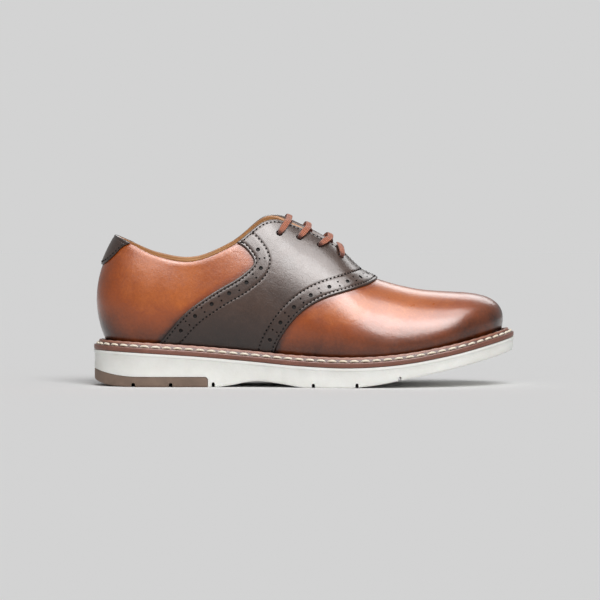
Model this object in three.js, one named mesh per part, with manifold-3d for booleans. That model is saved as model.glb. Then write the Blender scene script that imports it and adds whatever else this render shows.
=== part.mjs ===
// A saddle-style golf shoe for the right foot, on a white wedge sole with a stitched storm welt.
// Millimetres, +Z up, toe towards +X, outer (lateral) side towards -Y. It is drawn from the heel, x = 0, to
// x = SOLE_LENGTH at the toe, and the group is placed so that the origin is under the middle of its box.
import * as THREE from "three";
import { mergeVertices } from "three/addons/utils/BufferGeometryUtils.js";
import Module from "manifold-3d";

const wasm = await Module();
wasm.setup();
const { Manifold, Mesh } = wasm;

// ---- Driving dimensions -------------------------------------------------------------------------------
const SOLE_LENGTH = 300; // heel to toe, over the sole
const BALL_WIDTH = 106; // across the sole at the ball of the foot
const BACK_HEIGHT = 107; // floor to the top of the heel tab
const LEDGE = 10; // from the upper's feather line out to the edge of the sole
const WELT_THICKNESS = 3.3;
const WELT_TUCK = 3; // how far the welt runs on under the upper
const BEAD = { inset: 4.7, height: 7.2, width: 2 }; // storm bead that stands against the upper
const THREAD = 1.4;
const GAP = 0.3; // between pieces that are glued or sewn face to face

const LEATHER = 1.2; // vamp, quarters
const OVERLAY = 1.3; // saddle, heel tab
const STIFFENER = 0.9; // toe puff, heel counter, interlining, collar foam
const LINING = 0.9;

const INSOLE_THICKNESS = 2;
const FOOTBED_THICKNESS = 4;
const FOOTBED_CLEARANCE = 1.2; // round the footbed, to the lining
const SHANK = { from: 78, to: 168, width: 14, thickness: 1.2 };
const HEEL_PAD = { from: 24, to: 82, width: 40, thickness: 1.5 };

const INSERT = { length: 82, height: 7, backHeight: 12.4, backRise: 32 }; // heel tread pad
const GROOVE = { width: 2.2, depth: 3 };
const HEEL_GROOVES = [29.5, 56]; // from the heel
const ARCH_SLOT = 86;
const TOE_GROOVES = [156.5, 187, 217];

const EYELETS_A_SIDE = 4;
const EYELET_HOLE = 4.8;
const EYELET_RING = 8;
const LACE = { width: 4.6, thickness: 1.4 };
const LACE_IN_HOLE = { width: 2.9, thickness: 1.9 };
const LACE_CLEARANCE = 0.8; // to the lining and the tongue, whose faces are faceted
const AGLET = { length: 14, diameter: 2.4 };

const TONGUE_LEATHER = 1.1;
const TONGUE_PADDING = 3;
const TONGUE_LINING = 0.8;
const TONGUE_RISE = 9; // how far the tongue runs on beyond the top of the facings
const TONGUE_TAPER = 0.012; // of its width, a millimetre
const TONGUE_LEAN = 55; // degrees, of its free end back from upright

const SIDES = { lateral: -1, medial: 1 };
const COLOURS = {
  tan: [0x9c5230, 0.35], dark: [0x3a2c27, 0.4], lining: [0xc98a4e, 0.6], lace: [0xa85a41, 0.8],
  sole: [0xe6e5df, 0.6], rubber: [0x7a6456, 0.8], welt: [0x84503d, 0.6], thread: [0xf3e3cd, 0.8],
  board: [0xb79a72, 0.9], cork: [0xa77b4f, 0.95], textile: [0xd9c7a8, 0.95], foam: [0xd8d4c8, 0.95],
  steel: [0x9a9c9f, 0.35], footbed: [0xc08448, 0.7],
};

const lerp = THREE.MathUtils.lerp;
const clamp = THREE.MathUtils.clamp;
const vec = (x, y, z) => new THREE.Vector3(x, y, z);

// ---- Sole profiles and outline ------------------------------------------------------------------------
// Heights are shares of the back height and places shares of the length, so each can be changed by itself.
const alongSole = (share) => share * SOLE_LENGTH;
const profile = (points) => {
  const curve = new THREE.CatmullRomCurve3(points.map(([x, z]) => vec(x, 0, z)), false, "centripetal");
  const line = curve.getPoints(160);
  return (x) => {
    const at = clamp(x, line[0].x, line.at(-1).x);
    const i = Math.max(1, line.findIndex((p) => p.x >= at));
    const [a, b] = [line[i - 1], line[i]];
    return lerp(a.z, b.z, (at - a.x) / Math.max(b.x - a.x, 1e-9));
  };
};
// Where the welt lies on the white sole.
const soleTop = profile([[0, 26], [40, 23.9], [76, 21.6], [111, 18.6], [147, 15.4], [183, 14.2], [218, 16.6],
  [254, 23], [283, 30.3], [300, 35]].map(([x, z]) => [alongSole(x / 300), z]));
// What stands on the floor: a bevelled heel, a raised arch and a toe spring.
const tread = profile([[0, 4.4], [8, 1.8], [22, 0], [88, 0], [98, 1.4], [116, 4.4], [134, 2.6], [150, 0],
  [182, 0], [200, 2], [218, 5.4], [254, 13], [283, 20.4], [300, 25.5]]
  .map(([x, z]) => [alongSole(x / 300), z]));
const soleBottom = (x) => Math.max(0, tread(x));

// ---- The last: four rails round the foot, with a cubic from the feather line up to the topline ---------
// Stations run from the back of the heel (0) to the tip of the toe (12). A row is x, lateral y, medial y, z.
const THROAT = 8; // station where the facings meet and the vamp's ridge begins
const TOE = 12;
const POLE = 10; // from here on every line ends at one point on top of the toe
const FEATHER_GAP = WELT_THICKNESS + GAP;
const FEATHER = [[10, 0, 0], [17, -16.5, 16], [38, -26.5, 25.5], [72, -27, 25.5], [104, -28.5, 26],
  [134, -33, 29.5], [160, -38.5, 35.5], [184, -42.5, 40.5], [207, -44, 43], [234, -41, 42.5],
  [261, -32, 35.5], [282, -14.5, 23], [290, 6, 6]];
const BULGE = [[-4.4, 0, 0, 58], [5, -22.5, 22, 57], [37, -36, 35, 54], [72, -37.5, 36, 49],
  [105, -40, 37, 47], [136, -44.5, 39, 44], [162, -50, 44, 41], [186, -54, 50, 38], [210, -55, 53, 36],
  [237, -51, 53, 40], [265, -42, 46, 48], [292, -19, 29, 55], [298.5, 6, 6, 59]];
const SHOULDER = [[2.5, 0, 0, 84], [13, -19.5, 19, 84], [41, -31, 30, 76], [72, -31.5, 31, 70],
  [101, -33, 32, 76], [128, -33, 31, 90], [151, -33, 31, 92], [175, -33, 31, 84], [199, -27, 28, 77],
  [230, -26, 28, 69.5], [260, -23, 25, 66.6], [277, -11, 15, 66.2], [283, 3, 3, 65.9]];
const TOP = [[16.5, 0, 0, 107], [25, -17.5, 17.5, 102.5], [45, -26, 26, 92.8], [71, -28.5, 28.5, 88.6],
  [99, -26.5, 26.5, 99.6], [124, -16.5, 16.5, 117.2], [147, -9, 9, 111.5], [171, -7.5, 7.5, 99.2],
  [193, 0, 0, 80], [226, 0, 0, 69.4], [258, 0, 0, 66.4], [258, 0, 0, 66.4], [258, 0, 0, 66.4]];
const MEDIAL_RISE = [0, 0.5, 2, 3, 3.5, 4, 3, 1.5, 0, 0, 0, 0, 0]; // the inner ankle is cut higher
const TOE_SWING = 3; // the ridge drifts to the big toe

const railCurve = (rows, height) => {
  const point = ([x, yLateral, yMedial], side, k) =>
    vec(alongSole(x / 300), (side < 0 ? yLateral : yMedial) * (BALL_WIDTH / 106), height(rows[k], k, side));
  const ring = [
    ...rows.map((row, k) => point(row, SIDES.lateral, k)),
    ...rows.map((row, k) => point(row, SIDES.medial, k)).slice(1, -1).reverse(),
  ];
  return new THREE.CatmullRomCurve3(ring, true, "catmullrom", 0.5);
};
const upperHeight = (z) => (z * BACK_HEIGHT) / 107;
const featherRail = railCurve(FEATHER, ([x]) => soleTop(alongSole(x / 300)) + FEATHER_GAP);
// The sole, welt and insoles all follow the feather line, each at its own inset from the sole's edge.
const outlinePoint = (t, inset) => {
  const p = featherRail.getPoint(t % 1);
  const along = featherRail.getTangent(t % 1).setZ(0).normalize();
  return vec(p.x + along.y * (LEDGE - inset), p.y - along.x * (LEDGE - inset), 0);
};
const bulgeRail = railCurve(BULGE, (row) => upperHeight(row[3]));
const shoulderRail = railCurve(SHOULDER, (row) => upperHeight(row[3]));
const topRail = railCurve(TOP, (row, k, side) => upperHeight(row[3] + (side > 0 ? MEDIAL_RISE[k] : 0)));

const ridgeDrift = (u) => TOE_SWING * THREE.MathUtils.smoothstep(u, THROAT, POLE);
const lastPoint = (side, u, v) => {
  const t = side < 0 ? u / (2 * TOE) : 1 - u / (2 * TOE);
  const rails = [featherRail, bulgeRail, shoulderRail, topRail];
  const [b, p1, p2, top] = rails.map((rail) => rail.getPoint((t + 1) % 1));
  if (u >= THROAT) top.y = ridgeDrift(u);
  const w = 1 - v;
  return b.multiplyScalar(w * w * w).addScaledVector(p1, 3 * w * w * v).addScaledVector(p2, 3 * w * v * v)
    .addScaledVector(top, v * v * v);
};
const oneNormal = (side, u, v) => {
  const [du, dv] = [0.02, 0.01];
  const vAt = Math.min(v, 1 - dv);
  const alongU = lastPoint(side, u + du, vAt).sub(lastPoint(side, u - du, vAt));
  const alongV = lastPoint(side, u, vAt + dv).sub(lastPoint(side, u, vAt - dv));
  return alongU.cross(alongV).multiplyScalar(-side).normalize();
};
// On the ridge both sides share one normal, so that every layer closes there. At the feather line it is
// level, so that every layer stands on the welt.
const lastNormal = (side, u, v) => {
  if (v > 0.999 && u >= POLE) return vec(0, 0, 1);
  const n = oneNormal(side, u, v);
  if (v < 0.001) n.setZ(0).normalize();
  if (v > 0.999 && u >= THROAT) n.add(oneNormal(-side, u, v)).normalize();
  return n;
};
const offLast = (side, u, v, off) => lastPoint(side, u, v).addScaledVector(lastNormal(side, u, v), off);

// ---- Solids -------------------------------------------------------------------------------------------
const solidOf = (geometry) => {
  const bare = geometry.index ? geometry.toNonIndexed() : geometry.clone();
  const open = new THREE.BufferGeometry().setAttribute("position", bare.getAttribute("position"));
  const g = mergeVertices(open, 1e-4);
  return new Manifold(new Mesh({
    numProp: 3, vertProperties: g.attributes.position.array, triVerts: new Uint32Array(g.index.array),
  }));
};
const geometryOf = (solid) => {
  const mesh = solid.getMesh();
  const g = new THREE.BufferGeometry();
  const xyz = new Float32Array(mesh.numVert * 3);
  for (let i = 0; i < mesh.numVert; i++) {
    xyz.set(mesh.vertProperties.subarray(i * mesh.numProp, i * mesh.numProp + 3), i * 3);
  }
  g.setAttribute("position", new THREE.BufferAttribute(xyz, 3));
  g.setIndex(new THREE.BufferAttribute(mesh.triVerts, 1));
  return g;
};
// Triangles from quads and triangles that index a list of points. A quad that has lost a side is a triangle.
const triangles = (faces) => faces.map((f) => f.filter((n, k) => n !== f[(k + 1) % f.length]))
  .filter((f) => f.length > 2)
  .flatMap((f) => (f.length === 3 ? [f] : [[f[0], f[1], f[2]], [f[0], f[2], f[3]]]));
const faceted = (points, faces) => {
  const g = new THREE.BufferGeometry().setFromPoints(points);
  g.setIndex(triangles(faces).flat());
  return solidOf(g);
};
// The same triangles again, turned over and counted from the second half of the points.
const underside = (faces, count) => triangles(faces).map((f) => f.map((n) => n + count).reverse());
// The free edges of an open sheet, as walls down to the second half of the points.
const rimWalls = (faces, count) => {
  const edges = new Map();
  for (const f of triangles(faces)) {
    f.forEach((a, k) => edges.set(`${a} ${f[(k + 1) % 3]}`, [a, f[(k + 1) % 3]]));
  }
  return [...edges.values()].filter(([a, b]) => !edges.has(`${b} ${a}`))
    .map(([a, b]) => [b, a, a + count, b + count]);
};
const closedSheet = (outer, inner, faces) => faceted([...outer, ...inner],
  [...faces, ...underside(faces, outer.length), ...rimWalls(faces, outer.length)]);

// One layer of the upper: a lattice on the last, pushed out to two distances and closed at its rims.
const LATTICE = { perStation: 2, rows: 7 };
const layer = (inner, outer) => {
  const columns = 2 * TOE * LATTICE.perStation;
  const nodes = [];
  const index = new Map();
  const nodeAt = (i, j) => {
    const around = ((i % columns) + columns) % columns;
    const raw = around / LATTICE.perStation;
    const [side, u] = raw <= TOE ? [SIDES.lateral, raw] : [SIDES.medial, 2 * TOE - raw];
    const v = j / LATTICE.rows;
    const closed = j === LATTICE.rows && u >= THROAT;
    const key = closed ? `ridge ${Math.min(u, POLE).toFixed(4)}` : `${around} ${j}`;
    if (!index.has(key)) {
      index.set(key, nodes.length);
      const at = closed ? Math.min(u, POLE) : u;
      nodes.push([lastPoint(side, at, v), lastNormal(side, at, v)]);
    }
    return index.get(key);
  };
  const faces = [];
  for (let i = 0; i < columns; i++) {
    for (let j = 0; j < LATTICE.rows; j++) {
      faces.push([nodeAt(i, j), nodeAt(i + 1, j), nodeAt(i + 1, j + 1), nodeAt(i, j + 1)]);
    }
  }
  const pushed = (off) => nodes.map(([p, out]) => p.clone().addScaledVector(out, off));
  return closedSheet(pushed(outer), pushed(inner), faces);
};

// A pattern is an outline drawn in side view and pushed through the shoe from side to side.
const HALF_SPAN = 90;
const sideShape = (points, from = -HALF_SPAN, to = HALF_SPAN) => {
  const shape = new THREE.Shape(points.map(([x, z]) => new THREE.Vector2(x, z)));
  const g = new THREE.ExtrudeGeometry(shape, { depth: to - from, bevelEnabled: false, steps: 1 });
  return solidOf(g.rotateX(Math.PI / 2).translate(0, to, 0));
};
// Smooth lines of the patterns, each drawn upwards from below the feather line to above the topline.
const PATTERN_POINTS = 10;
const patternLine = (points, shift = 0) => {
  const placed = points.map(([x, z]) => vec(alongSole(x / 300) + shift, 0, upperHeight(z)));
  const curve = new THREE.CatmullRomCurve3(placed, false, "centripetal");
  return curve.getPoints(PATTERN_POINTS).map((p) => [p.x, p.z]);
};
const SADDLE_BACK = [[30, 5], [48, 31], [66, 52], [86, 66.5], [106, 78.5], [114.5, 87.5], [109, 97],
  [101, 102.5], [80, 118]];
const SADDLE_FRONT = [[129, 5], [129.5, 25], [136, 38.5], [148, 52.5], [163, 61.8], [187, 69.3], [196, 72.2],
  [204, 77.5], [212, 90]];
const LAP = 10; // how far vamp and quarters run on under the saddle
const FAR = { back: -30, front: SOLE_LENGTH + 30, low: -20, high: 200 };

const behind = (line) => sideShape([[FAR.back, line[0][1]], ...line, [FAR.back, line.at(-1)[1]]]);
const ahead = (line) => sideShape([...line, [FAR.front, line.at(-1)[1]], [FAR.front, FAR.low],
  [line[0][0], FAR.low]]);
const slab = (x0, x1, y0, y1, z0, z1) => {
  const block = new THREE.BoxGeometry(x1 - x0, y1 - y0, z1 - z0);
  return solidOf(block.translate((x0 + x1) / 2, (y0 + y1) / 2, (z0 + z1) / 2));
};

// ---- Layers and the panels cut from them --------------------------------------------------------------
const base = layer(-LEATHER, 0);
const over = layer(GAP, GAP + OVERLAY);
const stiffenerTop = -LEATHER - GAP;
const stiffening = layer(stiffenerTop - STIFFENER, stiffenerTop);
const liningTop = stiffenerTop - STIFFENER - GAP;
const lining = layer(liningTop - LINING, liningTop);
const insideFace = liningTop - LINING; // distance from the last's surface to the foot

const saddleBackLine = patternLine(SADDLE_BACK);
const saddleFrontLine = patternLine(SADDLE_FRONT);
const quarterFrontLine = patternLine(SADDLE_BACK, LAP);
const vampBackLine = patternLine(SADDLE_FRONT, -LAP);
const backingBackLine = patternLine(SADDLE_BACK, LAP + GAP);
const backingFrontLine = patternLine(SADDLE_FRONT, -LAP - GAP);

const throatX = TOP[THROAT][0] * (SOLE_LENGTH / 300);
const halfOf = (side) => (side < 0 ? slab(FAR.back, FAR.front, -HALF_SPAN, -GAP / 2, FAR.low, FAR.high)
  : slab(FAR.back, FAR.front, GAP / 2, HALF_SPAN, FAR.low, FAR.high));
const biggest = (solid) => solid.decompose().reduce((a, b) => (b.volume() > a.volume() ? b : a));

// Eyelets: on each facing, square to the leather.
const EYELET_LINE = { from: 5.28, to: 7.12, v: 0.885 }; // stations of the first and last, and their height
const eyelets = Object.entries(SIDES).flatMap(([name, side]) =>
  Array.from({ length: EYELETS_A_SIDE }, (_, i) => {
    const u = lerp(EYELET_LINE.from, EYELET_LINE.to, i / (EYELETS_A_SIDE - 1));
    const { v } = EYELET_LINE;
    return { name, side, number: i + 1, u, v, at: lastPoint(side, u, v), out: lastNormal(side, u, v) };
  }));
const stud = ({ at, out }, diameter, low, high, sides = 10) => {
  const g = new THREE.CylinderGeometry(diameter / 2, diameter / 2, high - low, sides);
  const turn = new THREE.Quaternion().setFromUnitVectors(vec(0, 1, 0), out);
  const middle = at.clone().addScaledVector(out, (low + high) / 2);
  return solidOf(g.applyQuaternion(turn).translate(middle.x, middle.y, middle.z));
};
const pierce = (solid, diameter, low = -9, high = 9) =>
  eyelets.reduce((s, e) => s.subtract(stud(e, diameter, low, high)), solid);

const saddle = pierce(over.subtract(behind(saddleBackLine)).subtract(ahead(saddleFrontLine)), EYELET_HOLE);
const vamp = base.intersect(ahead(vampBackLine));
const quarters = base.intersect(behind(quarterFrontLine));
const backing = pierce(base.subtract(behind(backingBackLine)).subtract(ahead(backingFrontLine)), EYELET_HOLE);

const TAB_LOW = [[-30, 82], [6, 85.6], [15, 92], [21, 98], [27, 101.2], [40, 104]];
const tabLine = patternLine(TAB_LOW);
const heelTab = over.intersect(sideShape([...tabLine, [tabLine.at(-1)[0], FAR.high], [FAR.back, FAR.high]]));

const COUNTER_FRONT = 96;
const COLLAR_LINE = [[-30, 72], [0, 72], [50, 66], [78, 64], [98, 68]];
const collarLine = patternLine(COLLAR_LINE);
const underCollar = (drop) => sideShape([...collarLine.map(([x, z]) => [x, z - drop]),
  [collarLine.at(-1)[0], FAR.low], [FAR.back, FAR.low]]);
const counterEnd = alongSole(COUNTER_FRONT / 300);
const rearOf = (x) => slab(FAR.back, x, -HALF_SPAN, HALF_SPAN, FAR.low, FAR.high);
const frontOf = (x) => slab(x, FAR.front, -HALF_SPAN, HALF_SPAN, FAR.low, FAR.high);
const heelCounter = stiffening.intersect(rearOf(counterEnd)).intersect(underCollar(0));
const collarFoam = stiffening.intersect(rearOf(counterEnd)).subtract(underCollar(-GAP));
const PUFF_BACK = 246;
const puffStart = alongSole(PUFF_BACK / 300);
const toePuff = stiffening.intersect(frontOf(puffStart));
const facingLine = patternLine([[110, 60], [128, 88], [150, 84], [172, 74], [192, 60]]);
const facingZone = sideShape([...facingLine, [facingLine.at(-1)[0], FAR.high], [facingLine[0][0], FAR.high]]);
const midStiffening = stiffening.intersect(frontOf(counterEnd + GAP)).intersect(rearOf(puffStart - GAP));
const tapeZone = midStiffening.intersect(facingZone).intersect(rearOf(throatX - 2));
const facingTape = pierce(tapeZone, EYELET_RING + 2 * GAP);
const facingGrown = sideShape([...facingLine.map(([x, z]) => [x, z - GAP]),
  [facingLine.at(-1)[0], FAR.high], [facingLine[0][0] - GAP, FAR.high]]);
const interlining = midStiffening.subtract(facingGrown);
const liningSeam = saddleFrontLine;
const quarterLining = pierce(lining.subtract(ahead(liningSeam.map(([x, z]) => [x - GAP, z]))), EYELET_HOLE);
const vampLining = lining.intersect(ahead(liningSeam));

// ---- Bottom: plates and rings round the feather line --------------------------------------------------
const ROUND = 2 * TOE * LATTICE.perStation; // outline steps, heel to heel
const ACROSS = 3;
// A plate inside the outline, between two heights that vary along the shoe.
const plate = (inset, low, high) => {
  const half = ROUND / 2;
  const places = [];
  for (let i = 0; i <= half; i++) {
    const [a, b] = [outlinePoint(i / ROUND, inset), outlinePoint(1 - i / ROUND, inset)];
    for (let j = 0; j <= ACROSS; j++) places.push(a.clone().lerp(b, j / ACROSS));
  }
  const at = (i, j) => i * (ACROSS + 1) + (i % half ? j : 0);
  const faces = [];
  for (let i = 0; i < half; i++) {
    for (let j = 0; j < ACROSS; j++) faces.push([at(i, j), at(i + 1, j), at(i + 1, j + 1), at(i, j + 1)]);
  }
  const raised = (z) => places.map((p) => vec(p.x, p.y, z(p.x)));
  return closedSheet(raised(high), raised(low), faces);
};
// A ring that follows the outline: each section point is an inset and a height above the sole's top.
const ring = (section) => {
  const points = [];
  for (let i = 0; i < ROUND; i++) {
    for (const [inset, z] of section) {
      const p = outlinePoint(i / ROUND, inset);
      points.push(vec(p.x, p.y, soleTop(p.x) + z));
    }
  }
  const n = section.length;
  const faces = [];
  for (let i = 0; i < ROUND; i++) {
    for (let k = 0; k < n; k++) {
      const [a, b] = [i * n, ((i + 1) % ROUND) * n];
      faces.push([a + k, b + k, b + ((k + 1) % n), a + ((k + 1) % n)]);
    }
  }
  return faceted(points, faces);
};

const insertTop = (x) =>
  INSERT.height + (INSERT.backHeight - INSERT.height) * Math.max(0, 1 - x / INSERT.backRise) ** 2;
const insertShape = (grow) => {
  const steps = Array.from({ length: 9 }, (_, i) => (INSERT.backRise * i) / 8);
  const end = INSERT.length + grow;
  return sideShape([[FAR.back, FAR.low], [end, FAR.low], [end, INSERT.height + grow],
    ...steps.reverse().map((x) => [x, insertTop(x) + grow]), [FAR.back, INSERT.backHeight + grow]]);
};
const groove = (x) => slab(x - GROOVE.width / 2, x + GROOVE.width / 2, -HALF_SPAN, HALF_SPAN, FAR.low,
  soleBottom(x) + GROOVE.depth);
const soleBlank = plate(0, soleBottom, (x) => soleTop(x) - GAP);
const cutGrooves = (solid, places) => places.reduce((s, x) => s.subtract(groove(x)), solid);
const soleGrooves = [ARCH_SLOT, ...TOE_GROOVES].map((x) => alongSole(x / 300));
const soleUnit = cutGrooves(soleBlank.subtract(insertShape(GAP)), soleGrooves);
const heelInsert = cutGrooves(soleBlank.intersect(insertShape(0)), HEEL_GROOVES);

const weltEnd = LEDGE + WELT_TUCK;
const [beadOut, beadIn] = [BEAD.inset - BEAD.width / 2, BEAD.inset + BEAD.width / 2];
const [lipInset, grooveInset] = [0.7, 1.4];
const weltSection = [[0.4, 0], [0, 0.5], [0, WELT_THICKNESS - 0.5], [lipInset, WELT_THICKNESS + 0.2],
  [grooveInset, WELT_THICKNESS - 0.1], [beadOut, BEAD.height - 1.6], [beadOut + 0.3, BEAD.height - 0.4],
  [BEAD.inset, BEAD.height], [beadIn, BEAD.height - 0.8], [beadIn, WELT_THICKNESS], [weltEnd, WELT_THICKNESS],
  [weltEnd, 0]];
const welt = ring(weltSection);
// The stitching lies on the groove's slope, square to it.
const slope = new THREE.Vector2(beadOut - grooveInset, BEAD.height - 1.5 - WELT_THICKNESS).normalize();
const threadInset = (grooveInset + beadOut) / 2 - slope.y * (GAP + THREAD / 2);
const threadHeight = (WELT_THICKNESS + BEAD.height - 1.7) / 2 + slope.x * (GAP + THREAD / 2);
const threadSection = Array.from({ length: 6 }, (_, i) => (i * Math.PI) / 3)
  .map((a) => [threadInset - (THREAD / 2) * Math.cos(a), threadHeight + (THREAD / 2) * Math.sin(a)]);
const threadRing = ring(threadSection);

const shankTop = (x) => soleTop(x) + WELT_THICKNESS;
const shankBottom = (x) => shankTop(x) - SHANK.thickness;
const shankZone = (grow) => slab(SHANK.from - grow, SHANK.to + grow,
  -SHANK.width / 2 - grow, SHANK.width / 2 + grow, FAR.low, FAR.high);
const insideWelt = weltEnd + GAP;
const shank = plate(insideWelt, shankBottom, shankTop).intersect(shankZone(0));
const corkFiller = plate(insideWelt, soleTop, shankTop).subtract(
  plate(insideWelt - GAP, (x) => shankBottom(x) - GAP, (x) => shankTop(x) + GAP).intersect(shankZone(GAP)));
// The insole board lies inside the lining's foot, and the footbed on it.
const insoleInset = LEDGE - insideFace + GAP;
const insoleBottom = (x) => soleTop(x) + WELT_THICKNESS + GAP;
const insoleTop = (x) => insoleBottom(x) + INSOLE_THICKNESS;
const insoleBoard = plate(insoleInset, insoleBottom, insoleTop);
const footbedBottom = (x) => insoleTop(x) + GAP;
const footbedInset = insoleInset + FOOTBED_CLEARANCE;
const padZone = (grow) => slab(HEEL_PAD.from - grow, HEEL_PAD.to + grow, -HEEL_PAD.width / 2 - grow,
  HEEL_PAD.width / 2 + grow, FAR.low, FAR.high);
const padLayer = (grow) => plate(footbedInset - grow, (x) => footbedBottom(x) - grow,
  (x) => footbedBottom(x) + HEEL_PAD.thickness + grow).intersect(padZone(grow));
const footbedTop = (x) => footbedBottom(x) + FOOTBED_THICKNESS;
const footbed = plate(footbedInset, footbedBottom, footbedTop).subtract(padLayer(GAP));
const heelPad = padLayer(0);

// ---- Tongue: an arch under the two facings, sewn in ahead of the throat -------------------------------
// The lace runs under the facings, on the lining, and over the tongue.
const laceInside = insideFace - LACE_CLEARANCE - LACE.thickness / 2;
const tongueTop = laceInside - LACE.thickness / 2 - 2 * LACE_CLEARANCE;
const TONGUE_END = 8.35; // station where it is sewn in
// Each row of the tongue: its station, and its share of the rise above the facings.
const TONGUE_ROWS = [[5, 1], [5, 0.5], [5, 0], [5.5, 0], [6, 0], [6.5, 0], [7, 0], [7.5, 0], [8, 0],
  [TONGUE_END, 0]];
const TONGUE_SQUEEZE = 0.45; // how far its wings draw in towards the sewn end
const TONGUE_SINK = 0.3; // of its middle, below the facings' edges
const TONGUE_HEIGHTS = [0.7, 0.82, 0.92, 0.975]; // shares of the way up to the facing's edge
const facingEdge = (side, u) => lastPoint(side, u, 1);
const facingRun = facingEdge(-1, 5).add(facingEdge(1, 5)).sub(facingEdge(-1, 7)).sub(facingEdge(1, 7))
  .setY(0).normalize();
const throatUp = vec(-facingRun.z, 0, facingRun.x).multiplyScalar(Math.sign(facingRun.x) || 1);
const lean = THREE.MathUtils.degToRad(TONGUE_LEAN);
const tongueRun = vec(-Math.sin(lean), 0, Math.cos(lean));
const tongueSheet = (top, bottom, trim) => {
  const grid = (off) => TONGUE_ROWS.flatMap(([u, rise]) => {
    const out = rise * TONGUE_RISE - (rise === 1 ? trim : 0);
    const shift = tongueRun.clone().multiplyScalar(out);
    const squeeze = TONGUE_SQUEEZE * THREE.MathUtils.smoothstep(u, 6.5, TONGUE_END);
    const heights = TONGUE_HEIGHTS.map((v, k) => lerp(v + (k ? 0 : trim * 0.012), 1, squeeze));
    const wing = (side) => heights.map((v) => offLast(side, u, v, off));
    const centre = facingEdge(-1, u).lerp(facingEdge(1, u), 0.5);
    centre.addScaledVector(u < THROAT ? throatUp : lastNormal(-1, u, 1), off - TONGUE_SINK);
    const taper = 1 - TONGUE_TAPER * out;
    return [...wing(-1), centre, ...wing(1).reverse()].map((p) => p.setY(p.y * taper).add(shift));
  });
  const across = 2 * TONGUE_HEIGHTS.length + 1;
  const faces = [];
  for (let i = 0; i < TONGUE_ROWS.length - 1; i++) {
    for (let j = 0; j < across - 1; j++) {
      const a = i * across + j;
      faces.push([a, a + across, a + across + 1, a + 1]);
    }
  }
  return closedSheet(grid(top), grid(bottom), faces);
};
const paddingTop = tongueTop - TONGUE_LEATHER - GAP;
const tongueLiningTop = paddingTop - TONGUE_PADDING - GAP;
const tongueLeather = tongueSheet(tongueTop, tongueTop - TONGUE_LEATHER, 0);
const tonguePadding = tongueSheet(paddingTop, paddingTop - TONGUE_PADDING, 1.5);
const tongueLining = tongueSheet(tongueLiningTop, tongueLiningTop - TONGUE_LINING, 0);

// ---- Lace: one flat lace, crossed three times and barred at the throat, its ends tucked in ------------
const overOff = GAP + OVERLAY + 2 * GAP + LACE.thickness / 2;
const eyelet = (side, row) => eyelets.find((e) => e.side === side && e.number === row);
const holePoint = (side, row, off) => {
  const e = eyelet(side, row);
  return e.at.clone().addScaledVector(e.out, off);
};
const wide = 1; // the lace's full width, and 0 where an eyelet gathers it
// Up through an eyelet, from inside to outside, and the lying points on both sides of the leather.
const upThrough = (side, row) => [
  [holePoint(side, row, laceInside), 0.2],
  [holePoint(side, row, -1), 0],
  [holePoint(side, row, overOff), 0.2],
];
const crossing = (fromSide, row, lift) => {
  const [a, b] = [eyelet(fromSide, row), eyelet(-fromSide, row + 1)];
  const between = (share) => lerp(a.u, b.u, share);
  const middle = facingEdge(-1, between(0.6)).lerp(facingEdge(1, between(0.6)), 0.5);
  const underEdge = offLast(-fromSide, between(0.78), 0.99, laceInside - 0.6);
  const clear = fromSide > 0 ? 2 : 0; // the inner facing curls outwards at its top
  return [
    [offLast(fromSide, between(0.18), 0.92, overOff + 0.8 + 0.5 * clear), wide],
    [offLast(fromSide, between(0.4), 0.975, overOff + 1.6 + clear), wide],
    [middle.addScaledVector(throatUp, lift), wide],
    [underEdge, wide],
    [offLast(-fromSide, b.u - 0.05, 0.93, laceInside - 0.5), wide],
  ];
};
const LIFT = { lateral: 1.2, medial: -1 }; // the run that starts on the lateral side lies on top
const LAST_ROW = EYELETS_A_SIDE;
const TAIL_HEIGHTS = [0.82, 0.74, 0.66, 0.58, 0.5]; // down inside the quarter, and gently away from it
const tail = (side) => TAIL_HEIGHTS.map((v, i) =>
  [offLast(side, 5.25 - 0.04 * i, v, laceInside - 0.25 * i * i), wide]);
const barPoints = (() => {
  const u = eyelet(1, LAST_ROW).u;
  const middle = facingEdge(-1, u).lerp(facingEdge(1, u), 0.5).addScaledVector(throatUp, overOff + 0.6);
  const shoulder = (side) => [offLast(side, u, 0.95, overOff + 0.7), wide];
  return [shoulder(1), [middle, wide], shoulder(-1)];
})();
const laceStops = [
  ...tail(-1).reverse(), ...upThrough(-1, 1), ...crossing(-1, 1, LIFT.lateral),
  ...upThrough(1, 2), ...crossing(1, 2, LIFT.medial),
  ...upThrough(-1, 3), ...crossing(-1, 3, LIFT.lateral),
  ...upThrough(1, 4), ...barPoints, ...upThrough(-1, 4).reverse(),
  ...crossing(1, 3, LIFT.medial).reverse(), ...upThrough(1, 3).reverse(),
  ...crossing(-1, 2, LIFT.lateral).reverse(), ...upThrough(-1, 2).reverse(),
  ...crossing(1, 1, LIFT.medial).reverse(), ...upThrough(1, 1).reverse(), ...tail(1),
];
const laceRoute = new THREE.CatmullRomCurve3(laceStops.map(([p]) => p), false, "centripetal");
const laceAcross = facingRun.clone();
const LACE_STEPS = 2; // between two stops
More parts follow.
